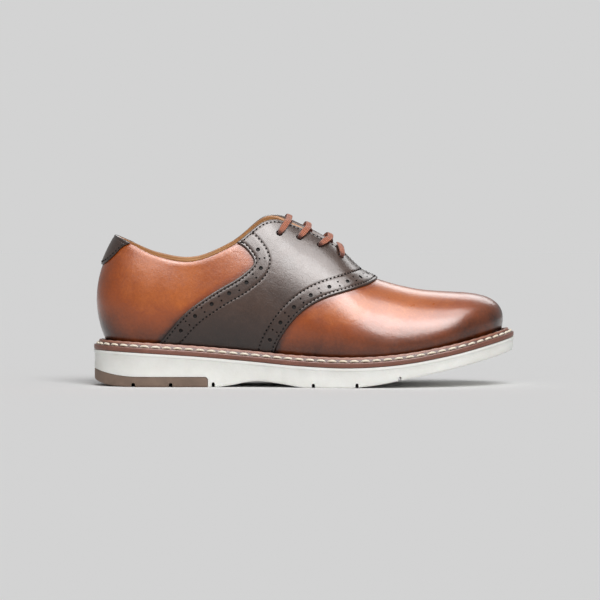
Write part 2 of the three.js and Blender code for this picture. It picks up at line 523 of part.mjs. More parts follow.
const laceSolid = (() => {
  const count = (laceStops.length - 1) * LACE_STEPS;
  const sides = 6;
  const points = [];
  for (let i = 0; i <= count; i++) {
    const t = i / count;
    const [p, along] = [laceRoute.getPoint(t), laceRoute.getTangent(t)];
    const k = Math.min(Math.floor(t * (laceStops.length - 1)), laceStops.length - 2);
    const spread = lerp(laceStops[k][1], laceStops[k + 1][1], t * (laceStops.length - 1) - k);
    const across = laceAcross.clone().addScaledVector(along, -laceAcross.dot(along)).normalize();
    const up = along.clone().cross(across);
    const width = lerp(LACE_IN_HOLE.width, LACE.width, spread) / 2;
    const thickness = lerp(LACE_IN_HOLE.thickness, LACE.thickness, spread) / 2;
    for (const [w, h] of [[-1, 0], [-0.75, -1], [0.75, -1], [1, 0], [0.75, 1], [-0.75, 1]]) {
      points.push(p.clone().addScaledVector(across, w * width).addScaledVector(up, h * thickness));
    }
  }
  const faces = [];
  for (let i = 0; i < count; i++) {
    for (let k = 0; k < sides; k++) {
      const [a, b] = [i * sides + k, i * sides + ((k + 1) % sides)];
      faces.push([a, b, b + sides, a + sides]);
    }
  }
  const cap = (start, turned) => [[0, 1, 2], [0, 2, 3], [0, 3, 4], [0, 4, 5]]
    .map((f) => (turned ? f.reverse() : f).map((n) => n + start));
  return faceted(points, [...faces, ...cap(0, true), ...cap(count * sides, false)]);
})();
const agletAt = (end) => {
  const [p, along] = [laceRoute.getPoint(end), laceRoute.getTangent(end).multiplyScalar(end ? 1 : -1)];
  const g = new THREE.CylinderGeometry(AGLET.diameter / 2, AGLET.diameter / 2, AGLET.length, 10);
  g.applyQuaternion(new THREE.Quaternion().setFromUnitVectors(vec(0, 1, 0), along));
  const middle = p.addScaledVector(along, GAP + AGLET.length / 2);
  return solidOf(g.translate(middle.x, middle.y, middle.z));
};

// ---- Export -------------------------------------------------------------------------------------------
const shoe = new THREE.Group();
const add = (name, solid, colour) => {
  const [hex, roughness] = COLOURS[colour];
  const metalness = colour === "steel" ? 1 : 0;
  const material = new THREE.MeshStandardMaterial({ color: hex, roughness, metalness });
  const mesh = new THREE.Mesh(geometryOf(solid), material);
  mesh.name = name;
  shoe.add(mesh);
  return mesh;
};
add("sole_unit", soleUnit, "sole");
add("heel_tread_insert", heelInsert, "rubber");
add("welt", welt, "welt");
add("welt_thread", threadRing, "thread");
add("cork_filler", corkFiller, "cork");
add("shank", shank, "steel");
add("insole_board", insoleBoard, "board");
add("footbed", footbed, "footbed");
add("heel_pad", heelPad, "foam");
add("vamp", vamp, "tan");
add("saddle", saddle, "dark");
add("heel_tab", heelTab, "dark");
add("toe_puff", toePuff, "textile");
add("heel_counter", heelCounter, "board");
add("collar_foam", collarFoam, "foam");
for (const [name, side] of Object.entries(SIDES)) {
  const half = halfOf(side);
  add(`quarter_${name}`, quarters.intersect(half), "tan");
  add(`saddle_backing_${name}`, backing.intersect(half), "textile");
  add(`facing_tape_${name}`, facingTape.intersect(half), "textile");
  add(`interlining_${name}`, biggest(interlining.intersect(half)), "textile");
}
add("quarter_lining", quarterLining, "lining");
add("vamp_lining", vampLining, "textile");
for (const e of eyelets) {
  const round = stiffening.intersect(stud(e, EYELET_RING, -9, 9)).subtract(stud(e, EYELET_HOLE, -9, 9));
  add(`eyelet_${e.name}_${e.number}`, round, "steel");
}
add("tongue_leather", tongueLeather, "dark");
add("tongue_padding", tonguePadding, "foam");
add("tongue_lining", tongueLining, "lining");
add("lace", laceSolid, "lace");
add("aglet_lateral", agletAt(0), "lace");
add("aglet_medial", agletAt(1), "lace");

const box = new THREE.Box3().setFromObject(shoe);
const middle = box.getCenter(new THREE.Vector3());
shoe.position.set(-middle.x, -middle.y, -box.min.z);

export default shoe;
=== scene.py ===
"""A saddle-style golf shoe for the right foot, with a laced upper, a storm welt and a white wedge sole.

Lengths are in millimetres from the back of the heel and the floor, and mesh_object() puts them in the frame.
"""
import math

import bmesh
import bpy
import numpy as np
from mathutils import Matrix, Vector


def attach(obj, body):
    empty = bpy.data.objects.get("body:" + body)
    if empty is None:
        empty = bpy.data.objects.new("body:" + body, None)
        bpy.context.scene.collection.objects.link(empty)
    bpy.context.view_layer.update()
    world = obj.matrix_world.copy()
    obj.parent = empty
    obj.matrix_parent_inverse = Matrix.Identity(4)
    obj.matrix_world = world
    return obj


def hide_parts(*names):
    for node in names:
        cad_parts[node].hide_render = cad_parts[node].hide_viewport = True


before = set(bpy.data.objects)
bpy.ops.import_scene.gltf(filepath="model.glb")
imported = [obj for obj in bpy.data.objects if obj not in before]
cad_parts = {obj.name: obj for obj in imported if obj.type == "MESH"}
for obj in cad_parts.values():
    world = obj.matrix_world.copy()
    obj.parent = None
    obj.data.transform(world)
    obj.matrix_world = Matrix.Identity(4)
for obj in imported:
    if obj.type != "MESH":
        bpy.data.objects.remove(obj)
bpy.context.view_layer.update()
scene = bpy.context.scene
MM = 0.001

# ---- Camera ----
ELEVATION = math.radians(1.4)
DISTANCE = 2.5
PICTURE_WIDTH = 0.4286  # what the picture spans at the shoe
AIM = Vector((-0.0029, 0, 0.0606))

camera_data = bpy.data.cameras.new("camera")
camera = bpy.data.objects.new("camera", camera_data)
scene.collection.objects.link(camera)
camera_data.lens = camera_data.sensor_width * DISTANCE / PICTURE_WIDTH
camera.location = AIM + DISTANCE * Vector((0, -math.cos(ELEVATION), math.sin(ELEVATION)))
camera.rotation_euler = (math.pi / 2 - ELEVATION, 0, 0)
camera_data.clip_end = 30
scene.camera = camera

# ---- Curves ----


def smoothstep(x, low, high):
    t = np.clip((np.asarray(x, float) - low) / (high - low), 0, 1)
    return t * t * (3 - 2 * t)


def fade(x, low, high):
    return 1 - smoothstep(x, low, high)


def hump(x, middle, width):
    return np.exp(-(((np.asarray(x, float) - middle) / width) ** 2))


def closed_curve(points):
    """A uniform Catmull-Rom curve round points, from 0 to 1."""
    points = np.asarray(points, float)
    n = len(points)

    def at(t):
        p = (np.asarray(t, float) % 1.0) * n
        i = np.floor(p).astype(int)
        w = (p - i)[..., None]
        before, a, b, after = (points[(i + k) % n] for k in (-1, 0, 1, 2))
        ma, mb = (b - before) / 2, (after - a) / 2
        return (2 * a - 2 * b + ma + mb) * w**3 + (-3 * a + 3 * b - 2 * ma - mb) * w**2 + ma * w + a

    return at


def open_curve(points, count):
    """count + 1 points of a centripetal Catmull-Rom curve through points."""
    points = np.asarray(points, float)
    padded = np.vstack([2 * points[0] - points[1], points, 2 * points[-1] - points[-2]])
    step = np.sqrt(np.maximum(np.linalg.norm(np.diff(padded, axis=0), axis=1), 1e-9))
    p = np.linspace(0, len(points) - 1, count + 1)
    i = np.minimum(p.astype(int), len(points) - 2)
    w = (p - i)[:, None]
    p0, p1, p2, p3 = (padded[i + k] for k in range(4))
    d0, d1, d2 = (step[i + k][:, None] for k in range(3))
    m1 = ((p1 - p0) / d0 - (p2 - p0) / (d0 + d1) + (p2 - p1) / d1) * d1
    m2 = ((p2 - p1) / d1 - (p3 - p1) / (d1 + d2) + (p3 - p2) / d2) * d1
    return (2 * p1 - 2 * p2 + m1 + m2) * w**3 + (-3 * p1 + 3 * p2 - 2 * m1 - m2) * w**2 + m1 * w + p1


def profile(points):
    line = open_curve(points, 160)
    return lambda x: np.interp(x, line[:, 0], line[:, 1])


def walked(p, axis=0):
    """How far along its line each point of a line, or of a grid's lines, is."""
    steps = np.linalg.norm(np.diff(p, axis=axis), axis=-1)
    return np.cumsum(np.insert(steps, 0, 0, axis=axis), axis=axis)


def unit(a):
    return a / np.maximum(np.linalg.norm(a, axis=-1, keepdims=True), 1e-12)


# ---- Driving dimensions, as in the CAD ----
LEDGE = 10
WELT_THICKNESS = 3.3
GAP = 0.3
LEATHER = 1.2
OVERLAY = 1.3  # saddle, heel tab
STIFFENER = 0.9
LINING_THICKNESS = 0.9
INSIDE_FACE = -(LEATHER + GAP + STIFFENER + GAP + LINING_THICKNESS)
FEATHER_GAP = WELT_THICKNESS + GAP

sole_top = profile([[0, 26], [40, 23.9], [76, 21.6], [111, 18.6], [147, 15.4], [183, 14.2], [218, 16.6],
                    [254, 23], [283, 30.3], [300, 35]])
tread = profile([[0, 4.4], [8, 1.8], [22, 0], [88, 0], [98, 1.4], [116, 4.4], [134, 2.6], [150, 0], [182, 0],
                 [200, 2], [218, 5.4], [254, 13], [283, 20.4], [300, 25.5]])

# Stations: the throat, where the ridge begins, the one where every line meets on top of the toe, and the toe.
THROAT, POLE, TOE = 8, 10, 12
LATERAL, MEDIAL = -1, 1
SIDES = (LATERAL, MEDIAL)
# Rails round the last, heel to toe: (along, lateral, medial, height), whose height on FEATHER is the sole's.
FEATHER = [[10, 0, 0], [17, -16.5, 16], [38, -26.5, 25.5], [72, -27, 25.5], [104, -28.5, 26],
           [134, -33, 29.5], [160, -38.5, 35.5], [184, -42.5, 40.5], [207, -44, 43], [234, -41, 42.5],
           [261, -32, 35.5], [282, -14.5, 23], [290, 6, 6]]
BULGE = [[-4.4, 0, 0, 58], [5, -22.5, 22, 57], [37, -36, 35, 54], [72, -37.5, 36, 49], [105, -40, 37, 47],
         [136, -44.5, 39, 44], [162, -50, 44, 41], [186, -54, 50, 38], [210, -55, 53, 36], [237, -51, 53, 40],
         [265, -42, 46, 48], [292, -19, 29, 55], [298.5, 6, 6, 59]]
SHOULDER = [[2.5, 0, 0, 84], [13, -19.5, 19, 84], [41, -31, 30, 76], [72, -31.5, 31, 70], [101, -33, 32, 76],
            [128, -33, 31, 90], [151, -33, 31, 92], [175, -33, 31, 84], [199, -27, 28, 77],
            [230, -26, 28, 69.5], [260, -23, 25, 66.6], [277, -11, 15, 66.2], [283, 3, 3, 65.9]]
TOP = [[16.5, 0, 0, 107], [25, -17.5, 17.5, 102.5], [45, -26, 26, 92.8], [71, -28.5, 28.5, 88.6],
       [99, -26.5, 26.5, 99.6], [124, -16.5, 16.5, 117.2], [147, -9, 9, 111.5], [171, -7.5, 7.5, 99.2],
       [193, 0, 0, 80], [226, 0, 0, 69.4], [258, 0, 0, 66.4], [258, 0, 0, 66.4], [258, 0, 0, 66.4]]
MEDIAL_RISE = [0, 0.5, 2, 3, 3.5, 4, 3, 1.5, 0, 0, 0, 0, 0]  # the inner ankle is cut higher
TOE_SWING = 3  # the ridge drifts to the big toe


def rail(rows, height):
    lateral = [[r[0], r[1], height(r, k, LATERAL)] for k, r in enumerate(rows)]
    medial = [[r[0], r[2], height(r, k, MEDIAL)] for k, r in enumerate(rows)]
    return closed_curve(lateral + medial[-2:0:-1])


feather_rail = rail(FEATHER, lambda r, k, side: float(sole_top(r[0])) + FEATHER_GAP)
bulge_rail = rail(BULGE, lambda r, k, side: r[3])
shoulder_rail = rail(SHOULDER, lambda r, k, side: r[3])
top_rail = rail(TOP, lambda r, k, side: r[3] + (MEDIAL_RISE[k] if side > 0 else 0))


def last(side, u, v):
    """The point at station u and height share v, on one side of the shoe."""
    u, v = np.broadcast_arrays(np.asarray(u, float), np.asarray(v, float))
    t = u / (2 * TOE) if side < 0 else 1 - u / (2 * TOE)
    b, p1, p2 = (r(t) for r in (feather_rail, bulge_rail, shoulder_rail))
    top = top_rail(np.where(u >= THROAT, u / (2 * TOE), t))  # both sides share the ridge
    drift = TOE_SWING * smoothstep(u, THROAT, POLE)
    top[..., 1] = np.where(u >= THROAT, drift, top[..., 1])
    v = v[..., None]
    w = 1 - v
    return b * w**3 + 3 * p1 * w * w * v + 3 * p2 * w * v * v + top * v**3


def one_normal(side, u, v):
    """The way out of one side of the last, without what the ridge and the feather line do to it."""
    du, dv = 0.02, 0.01
    v_at = np.minimum(v, 1 - dv)
    along_u = last(side, u + du, v_at) - last(side, u - du, v_at)
    along_v = last(side, u, v_at + dv) - last(side, u, v_at - dv)
    return unit(np.cross(along_u, along_v) * -side)


def last_normal(side, u, v):
    """The way out: level at the feather line, shared at the ridge and straight up on top of the toe."""
    u, v = np.broadcast_arrays(np.asarray(u, float), np.asarray(v, float))
    n = one_normal(side, u, v)
    n[..., 2] *= smoothstep(v, 0, 0.05)
    n = unit(n)
    ridge = ((u >= THROAT) * smoothstep(v, 0.9, 1))[..., None]
    n = unit(n + ridge * one_normal(-side, u, np.ones_like(v)))
    pole = ((u >= POLE) * smoothstep(v, 0.9, 1))[..., None]
    return unit(n * (1 - pole) + pole * np.array([0, 0, 1.0]))


def off_last(side, u, v, off):
    return last(side, u, v) + last_normal(side, u, v) * np.asarray(off, float)[..., None]


LEVEL = np.array([1, 1, 0.0])


def outline(t, inset):
    """The feather line, moved out to an inset from the sole's edge, level."""
    ahead, back = feather_rail(t + 1e-4), feather_rail(t - 1e-4)
    along = unit((ahead - back) * LEVEL)
    out = np.stack([along[..., 1], -along[..., 0], np.zeros_like(t)], -1)
    return feather_rail(t) * LEVEL + out * (LEDGE - np.asarray(inset, float)[..., None])


sole_edge = outline(np.arange(480) / 480, 0.0)
MIDDLE = (sole_edge.min(0) + sole_edge.max(0)) / 2 * LEVEL

# ---- Meshes ----
SHOE, TONGUE = "shoe", "tongue"


def solid_mesh(name, points, faces, material):
    """A closed mesh from points in millimetres, with its faces turned out."""
    mesh = bpy.data.meshes.new(name)
    placed = (np.asarray(points, float) - MIDDLE) * MM
    mesh.from_pydata(placed.tolist(), [], [list(f) for f in faces])
    mesh.validate()
    solid = bmesh.new()
    solid.from_mesh(mesh)
    bmesh.ops.recalc_face_normals(solid, faces=solid.faces)
    solid.to_mesh(mesh)
    solid.free()
    mesh.materials.append(material)
    return mesh


def mesh_object(name, points, faces, material, body=SHOE, sharp=40, paint=None, uv=None, stands_for=()):
    """A piece from points in millimetres. Its material reads paint, a value for each point, as painted shade
    and dark edges that darken it.
    """
    mesh = solid_mesh(name, points, faces, material)
    mesh.shade_smooth()
    mesh.set_sharp_from_angle(angle=math.radians(sharp))
    if paint is not None:
        # the painted shade and dark edges, a value for each point
        layer = mesh.attributes.new("painted_shade_and_dark_edges", "FLOAT", "POINT")
        layer.data.foreach_set("value", np.asarray(paint, np.float32))
    if uv is not None:
        layer = mesh.uv_layers.new(name="along")
        loops = np.zeros(len(mesh.loops), np.int32)
        mesh.loops.foreach_get("vertex_index", loops)
        layer.data.foreach_set("uv", np.asarray(uv, np.float32)[loops].ravel())
    piece = bpy.data.objects.new(name, mesh)
    scene.collection.objects.link(piece)
    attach(piece, body)
    if stands_for:
        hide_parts(*stands_for)
    return piece


def grid_faces(rows, columns, start, flip):
    a = start + np.arange(rows - 1)[:, None] * columns + np.arange(columns - 1)
    quads = np.stack([a, a + 1, a + columns + 1, a + columns], -1).reshape(-1, 4)
    return quads[:, ::-1] if flip else quads


def shell(grids):
    """Points and faces of a closed skin from grids of (outer, inner, flip), welded where outer points meet.

    Also gives the index of each kept point in the grids' own order, for what is painted on them."""
    outer = np.vstack([g[0].reshape(-1, 3) for g in grids])
    inner = np.vstack([g[1].reshape(-1, 3) for g in grids])
    faces, start = [], 0
    for out, _, flip in grids:
        faces.append(grid_faces(out.shape[0], out.shape[1], start, flip))
        start += out.shape[0] * out.shape[1]
    faces = np.vstack(faces)
    _, kept, index = np.unique(np.round(outer, 3), axis=0, return_index=True, return_inverse=True)
    count = len(kept)
    clean = []
    for face in index.reshape(-1)[faces]:
        f = [int(n) for k, n in enumerate(face) if n != face[(k + 1) % 4]]
        if len(f) > 2 and len(set(f)) == len(f):
            clean.append(f)
    edges = dict.fromkeys((a, f[(k + 1) % len(f)]) for f in clean for k, a in enumerate(f))
    rims = [(b, a, a + count, b + count) for a, b in edges if (b, a) not in edges]
    under = [[n + count for n in reversed(f)] for f in clean]
    return np.vstack([outer[kept], inner[kept]]), clean + under + rims, np.concatenate([kept, kept])


def tube_faces(steps, sides, closed=False):
    faces = []
    for i in range(steps if closed else steps - 1):
        for k in range(sides):
            a, b = i * sides + k, i * sides + (k + 1) % sides
            c = (i + 1) % steps * sides
            faces.append((a, b, c + (k + 1) % sides, c + k))
    if not closed:
        faces.append(tuple(reversed(range(sides))))
        faces.append(tuple((steps - 1) * sides + k for k in range(sides)))
    return faces


def resample(points, normals, pitch, inset=0.0):
    """Points, tangents and normals every pitch along a line, centred on it."""
    s = walked(points)
    room = s[-1] - 2 * inset
    count = max(int(room / pitch), 1)
    at = inset + (room - count * pitch) / 2 + (np.arange(count) + 0.5) * pitch

    def pick(values, where):
        return np.stack([np.interp(where, s, values[:, k]) for k in range(3)], -1)

    return pick(points, at), unit(pick(points, at + 0.3) - pick(points, at - 0.3)), unit(pick(normals, at))


def stitches(name, lines, pitch, length, radius, material, slot, sink=0.35, body=SHOE, stands_for=()):
    """Sewn stitches along lines of (points, normals): short bowed threads that dive in at both ends."""
    rings, sides = 7, 6
    along = np.linspace(-1, 1, rings)
    girth = np.sqrt(np.maximum(1 - 0.75 * np.abs(along) ** 3, 0.05))
    bow = -np.abs(along) ** 2.5 * radius * 1.5 + radius * (1 - 2 * sink)
    around = np.arange(sides) * 2 * math.pi / sides
    points, faces = [], []
    for line, normals in lines:
        centres, tangents, ups = resample(line, normals, pitch)
        sideways = unit(np.cross(tangents, ups))
        ups = unit(np.cross(sideways, tangents))
        for c, t, n, w in zip(centres, tangents, ups, sideways):
            start = len(points)
            for a, g, h in zip(along, girth, bow):
                for q in around:
                    points.append(c + t * a * length / 2 + w * math.cos(q) * radius * g
                                  + n * (h + math.sin(q) * radius * g))
            faces += [tuple(start + k for k in f) for f in tube_faces(rings, sides)]
    return mesh_object(name, points, faces, material, body=body, sharp=80, stands_for=stands_for)


# ---- Pattern lines: drawn in side view and found on the last ----
SADDLE_BACK = [[30, 5], [48, 31], [66, 52], [86, 66.5], [106, 78.5], [114.5, 87.5], [109, 97], [101, 102.5],
               [80, 118]]
SADDLE_FRONT = [[129, 5], [129.5, 25], [136, 38.5], [148, 52.5], [163, 61.8], [187, 69.3], [196, 72.2],
                [204, 77.5], [212, 90]]
TAB_LOW = [[-30, 82], [6, 85.6], [15, 92], [21, 98], [27, 101.2], [40, 104]]
back_line, front_line, tab_line = (open_curve(line, 60) for line in (SADDLE_BACK, SADDLE_FRONT, TAB_LOW))


def distance(line, p):
    """Side-view distance from a line that climbs, positive ahead of it."""
    x, z = p[..., 0], p[..., 2]
    a, step = line[:-1], np.diff(line, axis=0)
    best = np.full(x.shape, 1e9)
    for (ax, az), (dx, dz) in zip(a, step):
        t = np.clip(((x - ax) * dx + (z - az) * dz) / (dx * dx + dz * dz), 0, 1)
        best = np.minimum(best, np.hypot(x - ax - t * dx, z - az - t * dz))
    return best * np.where(x > np.interp(z, line[:, 1], line[:, 0]), 1, -1)


def stations(side, line, d, v, low, high):
    """The station on each row v where the distance ahead of the line is d."""
    u = np.linspace(low, high, 500)
    f = distance(line, last(side, u, v[:, None])) - d
    found = []
    for row in f:
        crossing = np.nonzero((row[:-1] < 0) & (row[1:] >= 0))[0]
        k = crossing[0] if len(crossing) else int(np.argmin(np.abs(row[:-1])))
        share = np.clip(-row[k] / (row[k + 1] - row[k] or 1e-9), 0, 1)
        found.append(u[k] + share * (u[1] - u[0]))
    return np.array(found)


TOP_ROWS = np.array([0.038, 0.032, 0.026, 0.021, 0.0165, 0.0125, 0.009, 0.006, 0.0035, 0.0015, 0])
V = np.concatenate([np.linspace(0, 0.955, 72), 1 - TOP_ROWS])


def below_top(p):
    """Distance below the topline of each point of rows that climb to it."""
    climb = walked(p)
    return climb[-1] - climb


def rolled(e, radius, drop):
    """How far a rounded edge falls away, e from the edge."""
    t = np.clip(1 - e / radius, 0, 1)
    return -drop * (1 - np.sqrt(1 - 0.96 * t * t)) / 0.8


OVER_TOP = GAP + OVERLAY
SEAM_OUT, SEAM_IN = 2.0, 11.4  # the two rows of a brogued band, from its edge
TOPLINE_SEAM = 2.4
# Where a band's columns lie, from its edge: closest at the edge and at its two seams.
BAND = np.array([0, 0.25, 0.6, 1.1, 1.55, 2.0, 2.45, 2.9, 4, 5.2, 6.4, 7.6, 8.8, 9.9, 10.5, 10.95, 11.4,
                 11.85, 12.3, 13, 14])


def seam_groove(e, at=TOPLINE_SEAM):
    return 0.3 * hump(e, at, 0.45)


def band_relief(d):
    """Height of the saddle's brogued band, d from its edge."""
    grooves = -0.25 * hump(d, SEAM_OUT, 0.5) - 0.3 * hump(d, SEAM_IN, 0.6)
    crown = 0.16 * smoothstep(d, 2.4, 3.6) * fade(d, 9.8, 11)
    return grooves + crown + rolled(d, 1.2, 0.75)


# ---- Materials ----


def srgb(*levels):
    c = [level / 255 for level in levels]
    return (*(v / 12.92 if v <= 0.04045 else ((v + 0.055) / 1.055) ** 2.4 for v in c), 1.0)


class Surface:
    """A principled material, with short ways to make its nodes."""

    def __init__(self, name, sockets):
        self.material = bpy.data.materials.new(name)
        self.material.use_nodes = True
        self.tree = self.material.node_tree
        self.shader = self.tree.nodes["Principled BSDF"]
        for key, value in sockets.items():
            self.shader.inputs[key].default_value = value
        self.place = self.add("TexCoord").outputs["Object"]

    def add(self, kind, inputs=(), **settings):
        node = self.tree.nodes.new("ShaderNode" + kind)
        for key, value in settings.items():
            setattr(node, key, value)
        for key, value in dict(inputs).items():
            if isinstance(value, bpy.types.NodeSocket):
                self.tree.links.new(value, node.inputs[key])
            else:
                node.inputs[key].default_value = value
        return node

    def noise(self, scale, detail=3.0, roughness=0.55, distortion=0.0):
        inputs = {"Vector": self.place, "Scale": scale, "Detail": detail, "Roughness": roughness,
                  "Distortion": distortion}
        return self.add("TexNoise", inputs).outputs["Fac"]

    def cells(self, scale, feature="F1"):
        node = self.add("TexVoronoi", {"Vector": self.place, "Scale": scale}, feature=feature)
        return node.outputs["Distance"]

    def math(self, operation, a, b=0.0):
        return self.add("Math", {0: a, 1: b}, operation=operation).outputs[0]

    def range(self, value, low, high, to_low, to_high):
        inputs = {"Value": value, "From Min": low, "From Max": high, "To Min": to_low, "To Max": to_high}
        return self.add("MapRange", inputs).outputs["Result"]

    def ramp(self, value, stops):
        node = self.add("ValToRGB", {"Fac": value})
        elements = node.color_ramp.elements
        while len(elements) < len(stops):
            elements.new(0.5)
        for element, (position, levels) in zip(elements, stops):
            element.position = position
            element.color = srgb(*levels)
        return node.outputs["Color"]

    def painted(self):
        # reads the painted shade and dark edges on each point
        return self.add("Attribute", attribute_name="painted_shade_and_dark_edges").outputs["Fac"]

    def bump(self, height, distance, under=None):
        inputs = {"Height": height, "Distance": distance}
        if under is not None:
            inputs["Normal"] = under
        return self.add("Bump", inputs).outputs["Normal"]

    def use(self, **sockets):
        names = {"colour": "Base Color", "roughness": "Roughness", "normal": "Normal",
                 "coat_normal": "Coat Normal"}
        for key, socket in sockets.items():
            if socket is not None:
                self.tree.links.new(socket, self.shader.inputs[names[key]])
        return self.material


PORES = 1350  # per metre


def leather(name, pale, middle, deep, roughness, coat, grain):
    """A waxed leather between three shades. The painted shade and dark edges on its points darken it."""
    s = Surface(name, {"Coat Weight": coat, "Coat Roughness": 0.2, "Coat IOR": 1.45,
                       "Specular IOR Level": 0.5})
    cloud = s.noise(34, 4, 0.6, 0.4)
    mottle = s.noise(520, 3, 0.65)
    tone = s.math("ADD", s.range(cloud, 0.3, 0.7, 0.0, 0.26), s.range(mottle, 0.3, 0.7, 0.0, 0.12))
    # random tone plus the painted shade and dark edges
    shade = s.math("ADD", tone, s.math("MULTIPLY", s.painted(), 0.72))
    colour = s.ramp(shade, [(0.0, pale), (0.34, middle), (1.0, deep)])
    scuff = s.noise(95, 5, 0.6)
    pebble = s.cells(PORES, "SMOOTH_F1")
    wrinkle = s.noise(240, 4, 0.6, 0.8)
    under = s.bump(wrinkle, 0.00016 * grain)
    fine = s.bump(pebble, 0.00007 * grain, under=under)
    rough = s.range(scuff, 0.3, 0.7, roughness - 0.05, roughness + 0.08)
    return s.use(colour=colour, roughness=rough, normal=fine, coat_normal=under)


def plain(name, shades, roughness, bumps, sockets=(), scale=60.0):
    """A material with clouds of colour between shades, and bumps of (kind, scale, depth in metres)."""
    s = Surface(name, dict(sockets))
    cloud = s.noise(scale, 4, 0.6)
    stops = [(k / (len(shades) - 1), shade) for k, shade in enumerate(shades)]
    colour = s.ramp(s.range(cloud, 0.3, 0.7, 0.0, 1.0), stops)
    normal = None
    for kind, size, depth in bumps:
        height = s.cells(size) if kind == "cells" else s.noise(size, 4, 0.6)
        normal = s.bump(height, depth, under=normal)
    rough = s.range(s.noise(scale * 3), 0.3, 0.7, roughness - 0.05, roughness + 0.05)
    return s.use(colour=colour, roughness=rough, normal=normal)


def woven(name, pale, deep, pitch):
    """A flat braid of ribs and slanting picks. UV is across the lace in widths and along it in metres."""
    s = Surface(name, {"Sheen Weight": 0.35, "Sheen Roughness": 0.5, "Specular IOR Level": 0.25})
    uv = s.add("SeparateXYZ", {"Vector": s.add("UVMap", uv_map="along").outputs["UV"]})
    turns = s.math("MULTIPLY", uv.outputs["X"], 4.0)
    side = s.math("PINGPONG", turns, 0.5)
    along = s.math("ADD", s.math("DIVIDE", uv.outputs["Y"], pitch), side)
    pick = s.math("SINE", s.math("MULTIPLY", along, 2 * math.pi))
    rib = s.math("SINE", s.math("MULTIPLY", turns, 2 * math.pi))
    fibre = s.noise(2600, 2)
    height = s.math("ADD", s.math("MULTIPLY", pick, 0.5), s.math("ADD", rib, s.math("MULTIPLY", fibre, 1.2)))
    # painted shade: darker in the braid's low places between ribs and picks, plus the painted shade on the
    # lace
    shade = s.math("ADD", s.range(height, -1.2, 2.0, 0.75, 0.0), s.math("MULTIPLY", s.painted(), 0.8))
    colour = s.ramp(shade, [(0.0, pale), (1.0, deep)])
    rough = s.range(fibre, 0.3, 0.7, 0.62, 0.82)
    return s.use(colour=colour, roughness=rough, normal=s.bump(height, 0.00022))


TAN = leather("tan_leather", (204, 108, 34), (160, 73, 16), (46, 17, 4), 0.32, 0.7, 0.7)
DARK = leather("dark_leather", (86, 62, 50), (57, 38, 29), (16, 10, 8), 0.34, 0.6, 0.8)
LINING = leather("lining_leather", (226, 170, 108), (201, 140, 82), (110, 66, 38), 0.55, 0.0, 0.8)
FOOTBED = leather("footbed_leather", (190, 142, 96), (160, 110, 68), (80, 50, 32), 0.6, 0.0, 0.8)
WELT = leather("welt_leather", (182, 126, 104), (130, 82, 66), (40, 22, 18), 0.42, 0.15, 0.9)
# a near-black painted shade for the walls and floors of the brogue pits and eyelet holes
PIT = plain("painted_hole_shade", [(16, 12, 11), (30, 22, 19)], 0.8, [("noise", 900, 0.0002)])
LACE_CLOTH = woven("lace_braid", (232, 140, 102), (96, 40, 28), 0.0019)
CREAM = plain("welt_thread", [(250, 232, 205), (255, 246, 228)], 0.6,
              [("noise", 2400, 0.0002)], {"Sheen Weight": 0.2})
DARK_THREAD = plain("dark_thread", [(8, 6, 6), (20, 15, 14)], 0.7,
                    [("noise", 2600, 0.0002)], {"Specular IOR Level": 0.15})
FOAM = plain("sole_foam", [(238, 236, 230), (249, 248, 243)], 0.55,
             [("noise", 700, 0.00010), ("cells", 2200, 0.00003)], {"Subsurface Weight": 0.04})
RUBBER = plain("tread_rubber", [(112, 92, 78), (136, 113, 97)], 0.6, [("noise", 900, 0.00012)])
STEEL = plain("steel", [(120, 116, 110), (176, 172, 166)], 0.32, [("noise", 1400, 0.00004)],
              {"Metallic": 1.0})
CORK = plain("cork", [(120, 78, 46), (178, 128, 82), (206, 160, 110)], 0.85,
             [("cells", 420, 0.0004), ("noise", 900, 0.0003)], scale=500.0)
BOARD = plain("board", [(150, 118, 84), (186, 152, 112)], 0.8, [("noise", 1100, 0.0002)], scale=300.0)
PADDING = plain("foam_padding", [(214, 196, 150), (232, 218, 178)], 0.9,
                [("cells", 1300, 0.0004)], {"Sheen Weight": 0.3})
BLACK, FLOOR_GREY, BACKDROP_GREY = (0, 0, 0, 1), (0.87, 0.87, 0.87, 1), (0.651, 0.651, 0.651, 1)
DULL = {"Roughness": 1.0, "Specular IOR Level": 0.0}
FLOOR = Surface("studio_floor", {"Base Color": FLOOR_GREY, **DULL}).material
BACKDROP = Surface("backdrop", {"Base Color": BLACK, "Emission Color": BACKDROP_GREY,
                                "Emission Strength": 1.0, **DULL}).material

# ---- Upper ----


def painted_low_shade(p, amount=1.0):
    """Painted shade, darker towards the welt; also darker towards the toe and the heel."""
    low = fade(p[..., 2] - sole_top(p[..., 0]), 5, 40)
    toe = smoothstep(p[..., 0], 236, 300)
    heel = fade(p[..., 0], -5, 30)
    return amount * np.clip(0.9 * low + 0.45 * toe + 0.45 * heel, 0, 1)


def between(start, end, shares):
    """Rows of stations from start to end, at shares of the way."""
    return start[:, None] + (end - start)[:, None] * shares


def two_rates(turn, first, rest):
    """Shares from 0 to 1 in two rates, which meet at turn."""
    return np.concatenate([np.linspace(0, turn, first)[:-1], np.linspace(turn, 1, rest)])


def panel(name, parts, material, stands_for):
    """A leather panel from parts of (side, outer points, inner points, paint)."""
    points, faces, kept = shell([(out, under, side > 0) for side, out, under, _ in parts])
    paint = np.concatenate([part[3].ravel() for part in parts])[kept]
    return mesh_object(name, points, faces, material, sharp=45, paint=paint, stands_for=stands_for)


ROWS = V[:, None]

